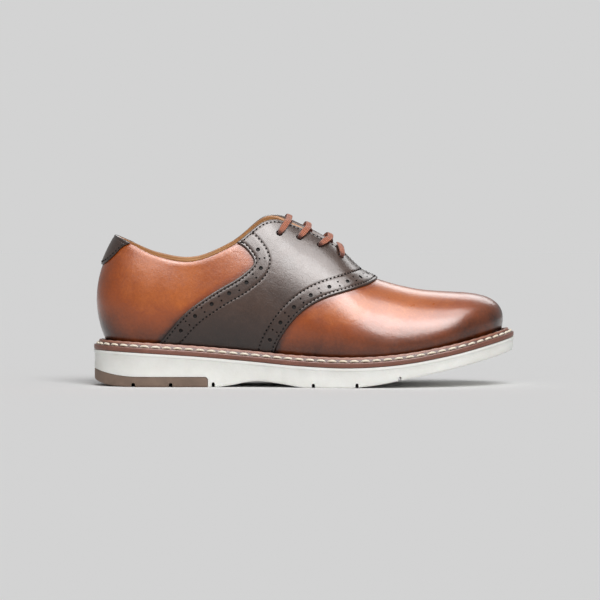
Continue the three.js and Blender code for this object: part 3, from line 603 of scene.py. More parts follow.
# Vamp, from under the saddle's front edge to the toe.
parts = []
for side in SIDES:
    start = stations(side, front_line, -8, V, 3, 10)
    u = between(start, TOE, two_rates(0.16, 14, 76))
    p = last(side, u, ROWS)
    ahead = distance(front_line, p)
    tucked = -0.12 * fade(ahead, -0.4, 1.5)
    # painted low shade, and a painted shadow on the vamp under and just ahead of the saddle's front edge
    shade = painted_low_shade(p) + 0.5 * fade(ahead, -1, 5)
    parts.append((side, off_last(side, u, ROWS, tucked), off_last(side, u, ROWS, -LEATHER), shade))
panel("vamp_panel", parts, TAN,
      stands_for=("vamp", "toe_puff", "interlining_lateral", "interlining_medial"))

# Quarters, from the back seam to under the saddle, rounded over the collar at the topline.
parts = []
for side in SIDES:
    end = stations(side, back_line, 8, V, 0, 7)
    u = between(np.zeros_like(end), end, two_rates(0.06, 12, 66))
    p = last(side, u, ROWS)
    e = below_top(p)
    from_seam = np.abs(p[..., 1])
    relief = -0.35 * hump(from_seam, 0, 0.5) + 0.12 * hump(from_seam, 1.6, 1.2) + rolled(e, 4.5, 0.9)
    behind = -distance(back_line, p)
    # painted low shade, a painted shadow under and just behind the saddle's back edge, and darker along the
    # topline edge
    shade = painted_low_shade(p) + 0.5 * fade(behind, -1, 5) + 0.4 * fade(e, 0, 1.5)
    parts.append((side, off_last(side, u, ROWS, relief), off_last(side, u, ROWS, -LEATHER), shade))
panel("quarters", parts, TAN,
      stands_for=("quarter_lateral", "quarter_medial", "saddle_backing_lateral", "saddle_backing_medial",
                  "facing_tape_lateral", "facing_tape_medial"))

# Saddle, between its two brogued bands, and whole across the ridge ahead of the throat.
throat_depth = float(-distance(front_line, last(LATERAL, THROAT, 1.0)[None])[0])
front_band = np.unique(np.append(BAND[np.abs(BAND - throat_depth) > 0.3], throat_depth))
throat_column = int(np.argmin(np.abs(front_band - throat_depth)))
parts, ridge_row = [], None
for side in SIDES:
    back = np.stack([stations(side, back_line, d, V, 0, 8) for d in BAND], 1)
    front = np.stack([stations(side, front_line, -d, V, 3, 10) for d in front_band[::-1]], 1)
    throat_at = front.shape[1] - 1 - throat_column
    front[-1, throat_at] = THROAT
    middle = between(back[:, -1], front[:, 0], np.linspace(0, 1, 48)[1:-1])
    u = np.concatenate([back, middle, front], 1)
    ridge = np.arange(u.shape[1]) >= u.shape[1] - front.shape[1] + throat_at
    ridge_row = u[-1].copy() if ridge_row is None else ridge_row  # both sides share it
    u[-1] = np.where(ridge, ridge_row, u[-1])
    p = last(side, u, ROWS)
    d_back, d_front = distance(back_line, p), -distance(front_line, p)
    e = np.where(ridge, 99.0, below_top(p))
    relief = band_relief(d_back) + band_relief(d_front) + rolled(e, 1.5, 0.8) - seam_groove(e)
    lap = smoothstep(np.minimum(d_back, d_front), 8.2, 10)
    top = np.maximum(OVER_TOP + relief, GAP + 0.1)
    # painted low shade, and darker along the saddle's own edges
    shade = painted_low_shade(p, 0.8) + 0.5 * fade(np.minimum(d_back, d_front), 0, 1.0)
    under = GAP - (GAP + LEATHER) * lap
    parts.append((side, off_last(side, u, ROWS, top), off_last(side, u, ROWS, under), shade))
saddle = panel("saddle_panel", parts, DARK, stands_for=("saddle",))

# Heel tab: its rows run from its lower line to the topline.


def tab_low(side, u):
    v = np.linspace(0.5, 1, 400)
    p = last(side, u, v[:, None])
    over = p[..., 2] - np.interp(p[..., 0], tab_line[:, 0], tab_line[:, 1])
    first = np.argmax(over > 0, axis=0)
    return np.where(over[-1] > 0, v[first], 1.0)


def tab_end(side):
    u = np.linspace(0.6, 1.9, 600)
    return float(u[np.argmax(tab_low(side, u) > 0.9995)])


parts, tab_lines = [], {}
for side in SIDES:
    columns = two_rates(0.05, 8, 44) * tab_end(side)
    low = tab_low(side, columns)
    share = np.linspace(0, 1, 60)[:, None] ** 1.35
    v = low + (1 - low) * share
    u = np.broadcast_to(columns, v.shape)
    p = last(side, u, v)
    e = below_top(p)
    e_low = e[0] - e
    relief = rolled(e_low, 1.2, 0.75) - seam_groove(e_low, SEAM_OUT) + rolled(e, 1.5, 0.7) - seam_groove(e)
    top = np.maximum(OVER_TOP + relief, GAP + 0.1)
    shade = 0.4 * fade(e_low, 0, 1.0) + 0.1
    parts.append((side, off_last(side, u, v, top), off_last(side, u, v, GAP), shade))
    row = np.argmin(np.abs(e_low - SEAM_OUT), axis=0)
    inside = e[0] > 2 * SEAM_OUT
    at = np.arange(len(columns))[inside]
    tab_lines[side] = (off_last(side, u, v, top)[row[inside], at], last_normal(side, u, v)[row[inside], at])
panel("heel_tab_panel", parts, DARK, stands_for=("heel_tab",))

# Lining, one skin from heel to toe, drawn in over the collar's padding.
COLLAR_PAD = 1.9
LINING_LIFT = 1.35  # at the topline, up to the leather
PAD_ROWS, PAD_COLUMNS = slice(50, None), slice(0, 47)


def collar_swell(u, e):
    return smoothstep(e, 3, 9) * fade(e, 17, 27) * fade(u, 3.4, 4.6)


parts, pads = [], []
u = np.broadcast_to(np.linspace(0, TOE, 121), (len(V), 121))
for side in SIDES:
    e = below_top(last(side, u, ROWS))
    swell = COLLAR_PAD * collar_swell(u, e)
    closed = (u < THROAT) * fade(e, 1.5, 4)
    outer = INSIDE_FACE + LINING_THICKNESS - swell + LINING_LIFT * closed
    inner = INSIDE_FACE - swell - seam_groove(e) * (u < THROAT) + closed * rolled(e, 1.5, -0.5)
    shade = 0.5 * fade(e, 0, 1.2) * (u < THROAT)
    parts.append((side, off_last(side, u, ROWS, outer), off_last(side, u, ROWS, inner), shade))
    fits = np.clip(swell[PAD_ROWS, PAD_COLUMNS] - 0.15, 0.02, None)
    pad_u = u[PAD_ROWS, PAD_COLUMNS]
    pad_outer = off_last(side, pad_u, ROWS[PAD_ROWS], -LEATHER - 0.15)
    pad_inner = off_last(side, pad_u, ROWS[PAD_ROWS], -LEATHER - 0.17 - fits)
    pads.append((side, pad_outer[:-4], pad_inner[:-4], np.zeros(fits[:-4].shape)))
lining = panel("lining_skin", parts, LINING,
               stands_for=("quarter_lining", "vamp_lining", "heel_counter"))
collar_pad = panel("collar_pad", pads, PADDING, stands_for=("collar_foam",))

# ---- Eyelets and brogueing ----
EYELET_STATIONS = np.linspace(5.28, 7.12, 4)
EYELET_HEIGHT = 0.885
EYELET_HOLE = 4.8
ROUND_STEPS = 20
THROUGH = (-9, 5)  # a cutter's two ends, from the last


def path_at(side, line, d, off, high=1.0):
    """A line across the upper, d ahead of a pattern line, climbing from the welt."""
    v = np.linspace(0.05, high, 160)
    u = stations(side, line, d, v, 0, 10)
    return off_last(side, u, v, off), last_normal(side, u, v)


def over_ridge(line, d, off):
    """The same, up one side and down the other."""
    a, b = (path_at(side, line, d, off) for side in SIDES)
    return np.vstack([a[0], b[0][-2::-1]]), np.vstack([a[1], b[1][-2::-1]])


def turned(at, axis, section, towards=(0.3, 1, 0.2)):
    """Points of a solid turned on an axis, from (distance along it, radius)."""
    side = unit(np.cross(axis, towards))
    other = np.cross(axis, side)
    angles = [2 * math.pi * k / ROUND_STEPS for k in range(ROUND_STEPS)]
    return [at + axis * h + (side * math.cos(a) + other * math.sin(a)) * r
            for h, r in section for a in angles]


def studs(places):
    """Points and faces of round cutters, each (point, axis, radius, low, high)."""
    points, faces = [], []
    for at, axis, radius, low, high in places:
        faces += [tuple(len(points) + k for k in f) for f in tube_faces(2, ROUND_STEPS)]
        points += turned(at, unit(axis), [(low, radius), (high, radius)])
    return points, faces


def carve(piece, points, faces, material, operation="DIFFERENCE", sharp=45):
    """Cut a piece with a solid, whose material the cut faces take."""
    cutter = bpy.data.objects.new("cutter", solid_mesh("cutter", points, faces, material))
    scene.collection.objects.link(cutter)
    cut = piece.modifiers.new("cut", "BOOLEAN")
    cut.object = cutter
    cut.operation = operation
    cut.solver = "MANIFOLD"
    cut.material_mode = "TRANSFER"
    bpy.context.view_layer.update()
    done = bpy.data.meshes.new_from_object(piece.evaluated_get(bpy.context.evaluated_depsgraph_get()))
    piece.modifiers.clear()
    old = piece.data
    piece.data = done
    bpy.data.meshes.remove(old)
    bpy.data.objects.remove(cutter)
    done.set_sharp_from_angle(angle=math.radians(sharp))


holes = [(last(side, u, EYELET_HEIGHT), last_normal(side, u, EYELET_HEIGHT), EYELET_HOLE / 2, *THROUGH)
         for side in SIDES for u in EYELET_STATIONS]
# Brogueing: its line from the edge, its repeat, a big hole, and two small ones spread across the line.
BROGUE_LINE, REPEAT, SPREAD = 6.1, 14.5, 1.8
BIG, BIG_DEPTH, SMALL, SMALL_DEPTH, CLEAR = 1.5, 0.95, 0.7, 0.9, 2
pits = list(holes)
brogue_lines = [over_ridge(front_line, -BROGUE_LINE, OVER_TOP)]
brogue_lines += [path_at(side, back_line, BROGUE_LINE, OVER_TOP, high=0.985) for side in SIDES]
for line, normals in brogue_lines:
    at, along, out = resample(line, normals, REPEAT)
    for p, t, n in zip(at, along, out):
        pits.append((p, n, BIG, -BIG_DEPTH, CLEAR))
    at, along, out = resample(line, normals, REPEAT, inset=REPEAT / 2)
    for p, t, n in zip(at, along, out):
        across = unit(np.cross(t, n))
        pits += [(p + across * s * SPREAD, n, SMALL, -SMALL_DEPTH, CLEAR) for s in (-1, 1)]
# the pits' walls and floors take the near-black painted hole shade
carve(saddle, *studs(pits), PIT)
carve(lining, *studs(holes), LINING)

# ---- Sewing on the upper ----
SEAM_STITCH = {"pitch": 3.0, "length": 2.0, "radius": 0.58}


def below_edge(side, u, e, off):
    """A line e below the topline, at stations u."""
    v = np.linspace(0.8, 1, 240)
    p = last(side, u, v[:, None])
    row = np.argmin(np.abs(below_top(p) - e), axis=0)
    return off_last(side, u, v[row], off), last_normal(side, u, v[row])


def station_of(side, line, d):
    return float(stations(side, line, d, np.array([1.0]), 0, 8)[0])


SEAM_TOP = OVER_TOP - 0.3
seams = [path_at(side, back_line, d, SEAM_TOP, high=0.99) for d in (SEAM_OUT, SEAM_IN) for side in SIDES]
seams.append(over_ridge(front_line, -SEAM_OUT, SEAM_TOP))
if SEAM_IN < throat_depth:
    seams.append(over_ridge(front_line, -SEAM_IN, SEAM_TOP))
else:
    seams += [path_at(side, front_line, -SEAM_IN, SEAM_TOP, high=0.98) for side in SIDES]
for side in SIDES:
    u = np.linspace(station_of(side, back_line, SEAM_OUT), THROAT - 0.12, 260)
    seams.append(below_edge(side, u, TOPLINE_SEAM, SEAM_TOP))
seams += [tab_lines[side] for side in SIDES]
TACK_ACROSS, TACK_DROP = np.array([[0, -2.4, 0], [0, 0, 0], [0, 2.4, 0]]), np.array([[0.9], [0.2], [0.9]])
for forward in (0.02, 0.1, 0.18):  # the bar tack ahead of the throat
    tack_at = np.full(3, THROAT + forward)
    ways = last_normal(LATERAL, tack_at, 1.0)
    seams.append((last(LATERAL, tack_at, 1.0) + TACK_ACROSS + ways * (OVER_TOP - TACK_DROP), ways))
stitches("saddle_stitching", seams, material=DARK_THREAD, slot="thread", **SEAM_STITCH)

# ---- Welt ----
ROUND = 720


def ring(section, ripple=lambda s: 0):
    """Points and faces of a ring round the sole from (inset, height above the sole's top)."""
    t = np.arange(ROUND) / ROUND
    rows = []
    for k, (inset, height) in enumerate(section):
        p = outline(t, inset)
        p[:, 2] = sole_top(p[:, 0]) + height + ripple(k)
        rows.append(p)
    return np.stack(rows, 1).reshape(-1, 3), tube_faces(ROUND, len(section), closed=True)


WELT_PITCH, WELT_STITCH, WELT_RADIUS = 7.9, 6.9, 0.88
# From under the upper, round the edge, up the slope that carries the stitches and over the bead.
WELT_SECTION = [(13, 0), (0.4, 0), (0.1, 0.15), (0, 0.5), (0, 2.7), (0.12, 3.15), (0.4, 3.42), (0.8, 3.5),
                (1.15, 3.4), (1.4, 3.2), (1.75, 3.45), (2.6, 4.35), (3.5, 5.35), (3.68, 5.8), (3.8, 6.5),
                (4.1, 7.0), (4.55, 7.2), (5.05, 7.1), (5.45, 6.75), (5.7, 6.2), (5.7, 3.3), (13, 3.3)]
SLOPE_AND_BEAD, BEAD = range(11, 19), range(13, 19)
STITCH_INSET, STITCH_HEIGHT = 2.5, 4.35
EDGE_SHADE, FOLD_SHADE = 0.28, 0.85
round_once = np.arange(ROUND + 1) / ROUND
stitch_line = outline(round_once, STITCH_INSET)
slope_out = unit(outline(round_once, 0.0) - stitch_line)
slope_normal = unit(slope_out * 0.72 + np.array([0, 0, 0.69]))
way_round = walked(stitch_line)
welt_stitches = round(way_round[-1] / WELT_PITCH)
pinch = 0.12 * np.cos(2 * math.pi * welt_stitches * way_round[:-1] / way_round[-1])
points, faces = ring(WELT_SECTION, lambda k: pinch if k in SLOPE_AND_BEAD else 0)
# painted shade in the groove along the stitches and behind the bead, and a painted highlight: the bead is
# left pale; the rim is a middle tone
shade = np.full(len(WELT_SECTION), EDGE_SHADE)
shade[8:] = FOLD_SHADE
shade[BEAD] = 0
mesh_object("storm_welt", points, faces, WELT, sharp=60, paint=np.tile(shade, ROUND),
            stands_for=("welt",))
stitch_line[:, 2] = sole_top(stitch_line[:, 0]) + STITCH_HEIGHT
stitches("welt_stitching", [(stitch_line, slope_normal)], way_round[-1] / welt_stitches, WELT_STITCH,
         WELT_RADIUS, CREAM, "thread", sink=0.2, stands_for=("welt_thread",))

# ---- Sole ----
SOLE_GAP = 0.3  # the glue line beneath the welt
LIP, LIP_HEIGHT = 0.45, 2.0
HALF_ROUND, ACROSS = 320, 24


def sole_low(x):
    return np.maximum(tread(x), 0)


def sole_high(x):
    return sole_top(x) - SOLE_GAP


def sole_walls(x):
    """(inset, height) up the sole's side, from its bottom to its top."""
    low, high = sole_low(x), sole_high(x)
    lip = high - LIP_HEIGHT
    return [(5.0, low), (1.8, low), (1.0, low + 0.25), (0.6, low + 0.8), (LIP, low + 1.6),
            (LIP, low + 0.5 * (high - low) - 0.5), (LIP, lip - 0.5), (0.3, lip - 0.15), (0.05, lip + 0.1),
            (0, lip + 0.35), (0, high - 0.5), (0.15, high - 0.12), (0.6, high), (5.0, high)]


def sole_block():
    """The wedge as one solid: its side all round, closed below and above by grids from side to side."""
    t = np.arange(2 * HALF_ROUND) / (2 * HALF_ROUND)
    count = len(sole_walls(t))
    rows = []
    for k in range(count):
        p = outline(t, sole_walls(t)[k][0])
        p[:, 2] = sole_walls(p[:, 0])[k][1]
        rows.append(p)
    points = [np.stack(rows, 1).reshape(-1, 3)]
    faces = [tuple(f) for f in tube_faces(2 * HALF_ROUND, count, closed=True)]
    faces = [f for f in faces if not {f[0] % count, f[1] % count} == {0, count - 1}]
    start = 2 * HALF_ROUND * count
    for edge, height in ((0, sole_low), (count - 1, sole_high)):
        def index(i, j, start=start, edge=edge):
            if j == 0 or i in (0, HALF_ROUND):
                return i * count + edge
            if j == ACROSS:
                return (2 * HALF_ROUND - i) * count + edge
            return start + (i - 1) * (ACROSS - 1) + j - 1

        for i in range(1, HALF_ROUND):
            a, b = rows[edge][i], rows[edge][2 * HALF_ROUND - i]
            inner = a + (b - a) * (np.arange(1, ACROSS) / ACROSS)[:, None]
            inner[:, 2] = height(inner[:, 0])
            points.append(inner)
        for i in range(HALF_ROUND):
            for j in range(ACROSS):
                f = [index(i, j), index(i + 1, j), index(i + 1, j + 1), index(i, j + 1)]
                f = [n for k, n in enumerate(f) if n != f[k - 1]]
                if len(f) > 2:
                    faces.append(tuple(f))
        start += (HALF_ROUND - 1) * (ACROSS - 1)
    return np.vstack(points), faces


def side_prism(outline_xz):
    """A solid from an outline drawn in side view, wider than the sole."""
    n = len(outline_xz)
    points = [(x, y, z) for y in (-90, 90) for x, z in outline_xz]
    faces = [(k, (k + 1) % n, n + (k + 1) % n, n + k) for k in range(n)]
    return points, faces + [tuple(reversed(range(n))), tuple(n + k for k in range(n))]


# The heel tread: its length and height, its height at the back, and where it starts to rise to that.
INSERT_LENGTH, INSERT_HEIGHT, INSERT_BACK, INSERT_RISE = 82, 7, 12.4, 32
BEHIND, BELOW = -30, -20  # clear of the sole
SOLE_SLOTS = ((86, 3.6), (156.5, 3), (187, 3), (217, 3))
INSERT_SLOTS = ((29.5, 3), (56, 3))


def insert_outline(grow):
    x = np.linspace(BEHIND, INSERT_RISE, 40)
    share = np.clip(1 - np.maximum(x, 0) / INSERT_RISE, 0, 1)
    top = [(a, INSERT_HEIGHT + (INSERT_BACK - INSERT_HEIGHT) * w**2 + grow) for a, w in zip(x, share)]
    end = INSERT_LENGTH + grow
    high = INSERT_HEIGHT + grow
    return [(BEHIND, BELOW), *top, (end - 1.5, high), (end, high - 1.5), (end, BELOW)]


def slot_outline(x, width, depth):
    """A groove across the tread at x, with a round top."""
    half = width / 2
    middle = float(sole_low(x)) + depth - half
    bow = [(x + half * math.sin(a), middle + half * math.cos(a))
           for a in np.linspace(-math.pi / 2, math.pi / 2, 9)]
    return [(x - half, BELOW), *bow, (x + half, BELOW)]


points, faces = sole_block()
SHARP = 35
sole = mesh_object("wedge_sole", points, faces, FOAM, sharp=SHARP, stands_for=("sole_unit",))
insert = mesh_object("heel_tread", points, faces, RUBBER, sharp=SHARP,
                     stands_for=("heel_tread_insert",))
carve(insert, *side_prism(insert_outline(0)), RUBBER, "INTERSECT", sharp=SHARP)
carve(sole, *side_prism(insert_outline(GAP)), FOAM, sharp=SHARP)
for piece, material, width, slots in ((sole, FOAM, 2.2, SOLE_SLOTS), (insert, RUBBER, 2.6, INSERT_SLOTS)):
    for x, depth in slots:
        carve(piece, *side_prism(slot_outline(x, width, depth)), material, sharp=SHARP)

# ---- Footbed ----
FOOTBED_INSET, FOOTBED_LIFT, FOOTBED_THICKNESS = 15.1, 2.3, 4


def footbed_sheet(top):
    half, across = 150, 30
    t = np.arange(half + 1) / (2 * half)
    a, b = outline(t, FOOTBED_INSET), outline(1 - t, FOOTBED_INSET)
    share = 0.5 - 0.5 * np.cos(math.pi * np.linspace(0, 1, across + 1))
    p = a[:, None] + (b - a)[:, None] * share[:, None]
    low = sole_top(p[..., 0]) + FEATHER_GAP + FOOTBED_LIFT
    if not top:
        p[..., 2] = low
        return p
    width = np.linalg.norm(b - a, axis=1)[:, None]
    ends = np.minimum(p[..., 0] - a[0, 0], a[-1, 0] - p[..., 0])
    e = np.minimum(np.minimum(share, 1 - share) * width, ends)
    cup = 1.2 * fade(e, 2, 14) - 0.7 * fade(e, 0, 1.2) - 0.25 * hump(e, 3.5, 0.5)
    p[..., 2] = low + FOOTBED_THICKNESS + cup - 0.5
    return p


points, faces, _ = shell([(footbed_sheet(True), footbed_sheet(False), True)])
mesh_object("footbed_cover", points, faces, FOOTBED, sharp=50,
            stands_for=("footbed", "heel_pad"))

# ---- Tongue: leather and lining round a pad, an arch under the facings ----
LACE_WIDTH, LACE_THICK = 4.6, 1.4
HOLE_WIDTH, HOLE_THICK = 2.9, 1.9
LACE_CLEARANCE = 0.8
LACE_INSIDE = INSIDE_FACE - LACE_CLEARANCE - LACE_THICK / 2
TONGUE_TOP = LACE_INSIDE - LACE_THICK / 2 - 2 * LACE_CLEARANCE
TONGUE_DEPTH = 5.5  # leather, padding and lining
TONGUE_RISE, TONGUE_TAPER, TONGUE_LEAN = 4, 0.012, math.radians(55)
facing_run = sum((last(side, 5.0, 1.0) - last(side, 7.0, 1.0) for side in SIDES), np.zeros(3))
facing_run = unit(facing_run * np.array([1, 0, 1]))
throat_up = np.array([facing_run[2], 0, -facing_run[0]])
tongue_run = np.array([-math.sin(TONGUE_LEAN), 0, math.cos(TONGUE_LEAN)])
TONGUE_ACROSS = 48
TONGUE_CORNER = 0.5  # how much shorter the free end is at its corners
TONGUE_TIP, TONGUE_ROOT = 5.0, 8.35  # stations
TONGUE_SEAM = 3.2  # from its edge


def mid_gap(u):
    """Midway between the facings' edges."""
    return (last(LATERAL, u, 1.0) + last(MEDIAL, u, 1.0)) / 2


def tongue_row(u, out, off):
    """Points across the tongue at station u, or out beyond it."""
    heights = np.array([0.7, 0.82, 0.92, 0.975])
    heights = heights + (1 - heights) * 0.45 * float(smoothstep(u, 6.5, TONGUE_ROOT))
    left, right = (off_last(side, u, heights, off) for side in SIDES)
    up = throat_up if u < THROAT else last_normal(LATERAL, u, 1.0)
    points = np.vstack([left, (mid_gap(u) + up * (off - 0.3))[None], right[::-1]])
    points[:, 1] *= 1 - TONGUE_TAPER * out
    share = np.abs(np.linspace(-1, 1, TONGUE_ACROSS + 1))
    return open_curve(points, TONGUE_ACROSS) + tongue_run * (out * (1 - TONGUE_CORNER * share**3))[:, None]


def eased(p):
    """A grid of points with its kinks smoothed out."""
    for _ in range(24):
        q = np.concatenate([p[:1], p, p[-1:]])
        p = 0.25 * q[:-2] + 0.5 * q[1:-1] + 0.25 * q[2:]
        q = np.concatenate([2 * p[:, :1] - p[:, 1:2], p, 2 * p[:, -1:] - p[:, -2:-1]], 1)
        p = 0.25 * q[:, :-2] + 0.5 * q[:, 1:-1] + 0.25 * q[:, 2:]
    return p


def tongue_sheet(off):
    rows = [tongue_row(TONGUE_TIP, out, off) for out in np.linspace(TONGUE_RISE, 0, 14)[:-1]]
    rows += [tongue_row(u, 0.0, off) for u in np.linspace(TONGUE_TIP, TONGUE_ROOT, 72)]
    return eased(np.array(rows))


def edge_distance(p):
    """Distance of each point from the tongue's sides and its free end."""
    from_left = walked(p, axis=1)
    return np.minimum(np.minimum(from_left, from_left[:, -1:] - from_left), walked(p))


tongue_out, tongue_in = tongue_sheet(TONGUE_TOP), tongue_sheet(TONGUE_TOP - TONGUE_DEPTH)
e = edge_distance(tongue_out)


def in_tongue(depth):
    """A skin of the tongue at a depth from 0, its face, to 1, its back."""
    return tongue_out + (tongue_in - tongue_out) * depth[..., None]


puff = fade(e, 0, 7)
stitched = hump(e, TONGUE_SEAM, 0.55)
face = 0.04 + 0.34 * puff**1.6 + 0.07 * stitched
back = 0.96 - 0.34 * puff**1.6 - 0.05 * stitched
tongue_paint = 0.45 * fade(e, 0, 1.5) + 0.15
skins = (("tongue_face", face, face + 0.16, DARK, "dark_leather", "tongue_leather"),
         ("tongue_back", back - 0.14, back, LINING, "lining_leather", "tongue_lining"))
for name, outer, inner, material, slot, node in skins:
    points, faces, kept = shell([(in_tongue(outer), in_tongue(inner), True)])
    mesh_object(name, points, faces, material, body=TONGUE, sharp=50, paint=tongue_paint.ravel()[kept],
                stands_for=(node,))
inside = (slice(3, None), slice(2, TONGUE_ACROSS - 1))
points, faces, _ = shell([(in_tongue(face + 0.18)[inside], in_tongue(back - 0.16)[inside], True)])
tongue_pad = mesh_object("tongue_pad", points, faces, PADDING, body=TONGUE,
                         stands_for=("tongue_padding",))

seam_left = int(np.argmin(np.abs(e[40, :TONGUE_ACROSS // 2] - TONGUE_SEAM)))
seam_right = TONGUE_ACROSS - seam_left
seam_top = int(np.argmin(np.abs(e[:20, TONGUE_ACROSS // 2] - TONGUE_SEAM)))
wing = slice(seam_top, 70)


def along_seam(grid):
    """Up one side of the tongue, across its free end and down the other side."""
    return np.vstack([grid[wing, seam_left][::-1], grid[seam_top, seam_left:seam_right],
                      grid[wing, seam_right]])


seam = (along_seam(in_tongue(face)), along_seam(unit(tongue_out - tongue_in)))
stitches("tongue_stitching", [seam], material=DARK_THREAD, slot="thread", body=TONGUE, **SEAM_STITCH)

# ---- Lace: the CAD's own route, as a flat braid ----
OVER_OFF = OVER_TOP + 2 * GAP + LACE_THICK / 2
WIDE = 1.0  # how far the lace is spread: 0 in an eyelet


def eyelet_point(side, row, off):
    return off_last(side, EYELET_STATIONS[row - 1], EYELET_HEIGHT, off)


def up_through(side, row):
    return [(eyelet_point(side, row, LACE_INSIDE), 0.2), (eyelet_point(side, row, -1.0), 0.0),
            (eyelet_point(side, row, OVER_OFF), 0.2)]


def crossing(side, row, lift):
    a, b = EYELET_STATIONS[row - 1], EYELET_STATIONS[row]
    step = b - a
    clear = 2 if side > 0 else 0
    return [(off_last(side, a + 0.18 * step, 0.92, OVER_OFF + 0.8 + 0.5 * clear), WIDE),
            (off_last(side, a + 0.4 * step, 0.975, OVER_OFF + 1.6 + clear), WIDE),
            (mid_gap(a + 0.6 * step) + throat_up * lift, WIDE),
            (off_last(-side, a + 0.78 * step, 0.99, LACE_INSIDE - 0.6), WIDE),
            (off_last(-side, b - 0.05, 0.93, LACE_INSIDE - 0.5), WIDE)]


def tail(side):
    return [(off_last(side, 5.25 - 0.04 * i, v, LACE_INSIDE - 0.25 * i * i), WIDE)
            for i, v in enumerate((0.82, 0.74, 0.66, 0.58, 0.5))]


def bar():
    u = EYELET_STATIONS[3]
    a, b = (off_last(side, u, 0.95, OVER_OFF + 0.7) for side in SIDES)
    return [(b, WIDE), (mid_gap(u) + throat_up * (OVER_OFF + 0.6), WIDE), (a, WIDE)]


ON_TOP, BENEATH = 1.2, -1.0
stops = [*tail(LATERAL)[::-1], *up_through(LATERAL, 1), *crossing(LATERAL, 1, ON_TOP), *up_through(MEDIAL, 2),
         *crossing(MEDIAL, 2, BENEATH), *up_through(LATERAL, 3), *crossing(LATERAL, 3, ON_TOP),
         *up_through(MEDIAL, 4), *bar(), *up_through(LATERAL, 4)[::-1], *crossing(MEDIAL, 3, BENEATH)[::-1],
         *up_through(MEDIAL, 3)[::-1], *crossing(LATERAL, 2, ON_TOP)[::-1], *up_through(LATERAL, 2)[::-1],
         *crossing(MEDIAL, 1, BENEATH)[::-1], *up_through(MEDIAL, 1)[::-1], *tail(MEDIAL)]
STEPS = 12
centre = open_curve([p for p, _ in stops], (len(stops) - 1) * STEPS)
spread = np.interp(np.linspace(0, len(stops) - 1, len(centre)), np.arange(len(stops)), [w for _, w in stops])
tangent = unit(np.gradient(centre, axis=0))
across = unit(facing_run - tangent * (tangent @ facing_run)[:, None])
upward = np.cross(tangent, across)
LACE_SECTION = []
for k in range(17):
    w = -1 + k / 8
    LACE_SECTION.append((w, 0.82 * (1 - abs(w) ** 5) * (1 + 0.16 * math.cos(4 * math.pi * w)) + 0.05))
LACE_SECTION += [(-w * 0.995, -h) for w, h in LACE_SECTION]
width = (HOLE_WIDTH + (LACE_WIDTH - HOLE_WIDTH) * spread) / 2
thick = (HOLE_THICK + (LACE_THICK - HOLE_THICK) * spread) / 2
points = np.stack([centre + across * (w * width)[:, None] + upward * (h * thick)[:, None]
                   for w, h in LACE_SECTION], 1)
around = np.array([(w + 1) / 2 for w, _ in LACE_SECTION])
uv = np.stack(np.broadcast_arrays(around, walked(centre)[:, None] * MM), -1).reshape(-1, 2)
# painted shade: the lace is darker along both edges and where it runs through the eyelets
edges = 0.5 * smoothstep(np.abs(2 * around - 1), 0.7, 1.0)
shade = np.maximum(fade(spread, 0.0, 0.7)[:, None], edges)
mesh_object("lace_braided", points.reshape(-1, 3), tube_faces(len(centre), len(LACE_SECTION)), LACE_CLOTH,
            sharp=70, paint=shade.ravel(), uv=uv, stands_for=("lace",))

AGLET_SECTION = [(0.3, 0.96), (0.45, 1.2), (1.3, 1.2), (1.5, 1.08), (1.9, 1.08), (2.1, 1.2), (12.9, 1.14),
                 (13.8, 0.9), (14.2, 0.48)]
for name, at, way in (("lateral", centre[0], -tangent[0]), ("medial", centre[-1], tangent[-1])):
    points = turned(at, way, AGLET_SECTION, towards=(0.2, 1, 0.3))
    mesh_object(f"aglet_tip_{name}", points, tube_faces(len(AGLET_SECTION), ROUND_STEPS), STEEL,
                stands_for=(f"aglet_{name}",))

# ---- The CAD nodes that stay ----
KEPT = {"cork_filler": CORK, "shank": STEEL, "insole_board": BOARD}
KEPT.update({f"eyelet_{name}_{n}": STEEL for name in ("lateral", "medial") for n in range(1, 5)})
for node, material in KEPT.items():
    for place in bpy.data.objects[node].material_slots:
        place.material = material

# ---- Studio ----
scene.view_settings.view_transform = "Standard"
STAGE_RADIUS = 9.0
SKY_LIGHT = 0.30  # what the room gives, far less than the backdrop shows


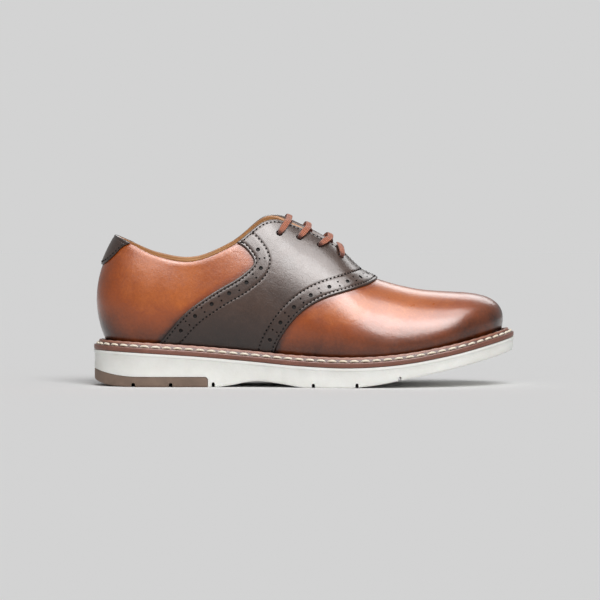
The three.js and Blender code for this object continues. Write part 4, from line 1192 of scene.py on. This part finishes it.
def stage():
    """The floor, and over it a dome that only the camera sees."""
    around = 96
    rim = [(STAGE_RADIUS * math.cos(a), STAGE_RADIUS * math.sin(a), 0)
           for a in np.arange(around) * 2 * math.pi / around]
    mesh = bpy.data.meshes.new("studio_floor")
    mesh.from_pydata(rim, [], [tuple(range(around))])
    mesh.materials.append(FLOOR)
    floor = bpy.data.objects.new("studio_floor", mesh)
    solid = bmesh.new()
    bmesh.ops.create_icosphere(solid, subdivisions=4, radius=STAGE_RADIUS)
    mesh = bpy.data.meshes.new("backdrop")
    solid.to_mesh(mesh)
    solid.free()
    mesh.materials.append(BACKDROP)
    dome = bpy.data.objects.new("backdrop", mesh)
    for ray in ("diffuse", "glossy", "transmission", "volume_scatter", "shadow"):
        setattr(dome, f"visible_{ray}", False)
    for piece in (floor, dome):
        scene.collection.objects.link(piece)


stage()
world = bpy.data.worlds.new("studio")
world.use_nodes = True
world.node_tree.nodes["Background"].inputs["Color"].default_value = (SKY_LIGHT, SKY_LIGHT, SKY_LIGHT, 1)
world.node_tree.nodes["Background"].inputs["Strength"].default_value = 1.0
scene.world = world


def lamp_at(name, kind, energy, place, aim):
    data = bpy.data.lights.new(name, kind)
    data.energy = energy
    lamp = bpy.data.objects.new(name, data)
    lamp.location = place
    lamp.rotation_euler = (Vector(aim) - Vector(place)).to_track_quat("-Z", "Y").to_euler()
    scene.collection.objects.link(lamp)
    return lamp


def softbox(name, power, place, size):
    """A lamp aimed at the shoe that shows only in what is glossy."""
    lamp = lamp_at(name, "AREA", power, place, (0, 0, 0.06))
    lamp.data.shape = "RECTANGLE"
    lamp.data.size, lamp.data.size_y = size
    lamp.visible_diffuse = False


key = lamp_at("key", "SUN", 1.9, (0.3, -1.0, 1.15), (0, 0, 0))
key.data.angle = math.radians(35)
softbox("top_light", 34, (0.0, -0.45, 1.2), (1.9, 0.9))
softbox("front_light", 8, (0.0, -1.05, 0.9), (1.9, 0.45))
softbox("back_light", 9, (0.2, 1.2, 1.0), (1.6, 0.6))

# ---- Frame ----
bpy.context.view_layer.update()
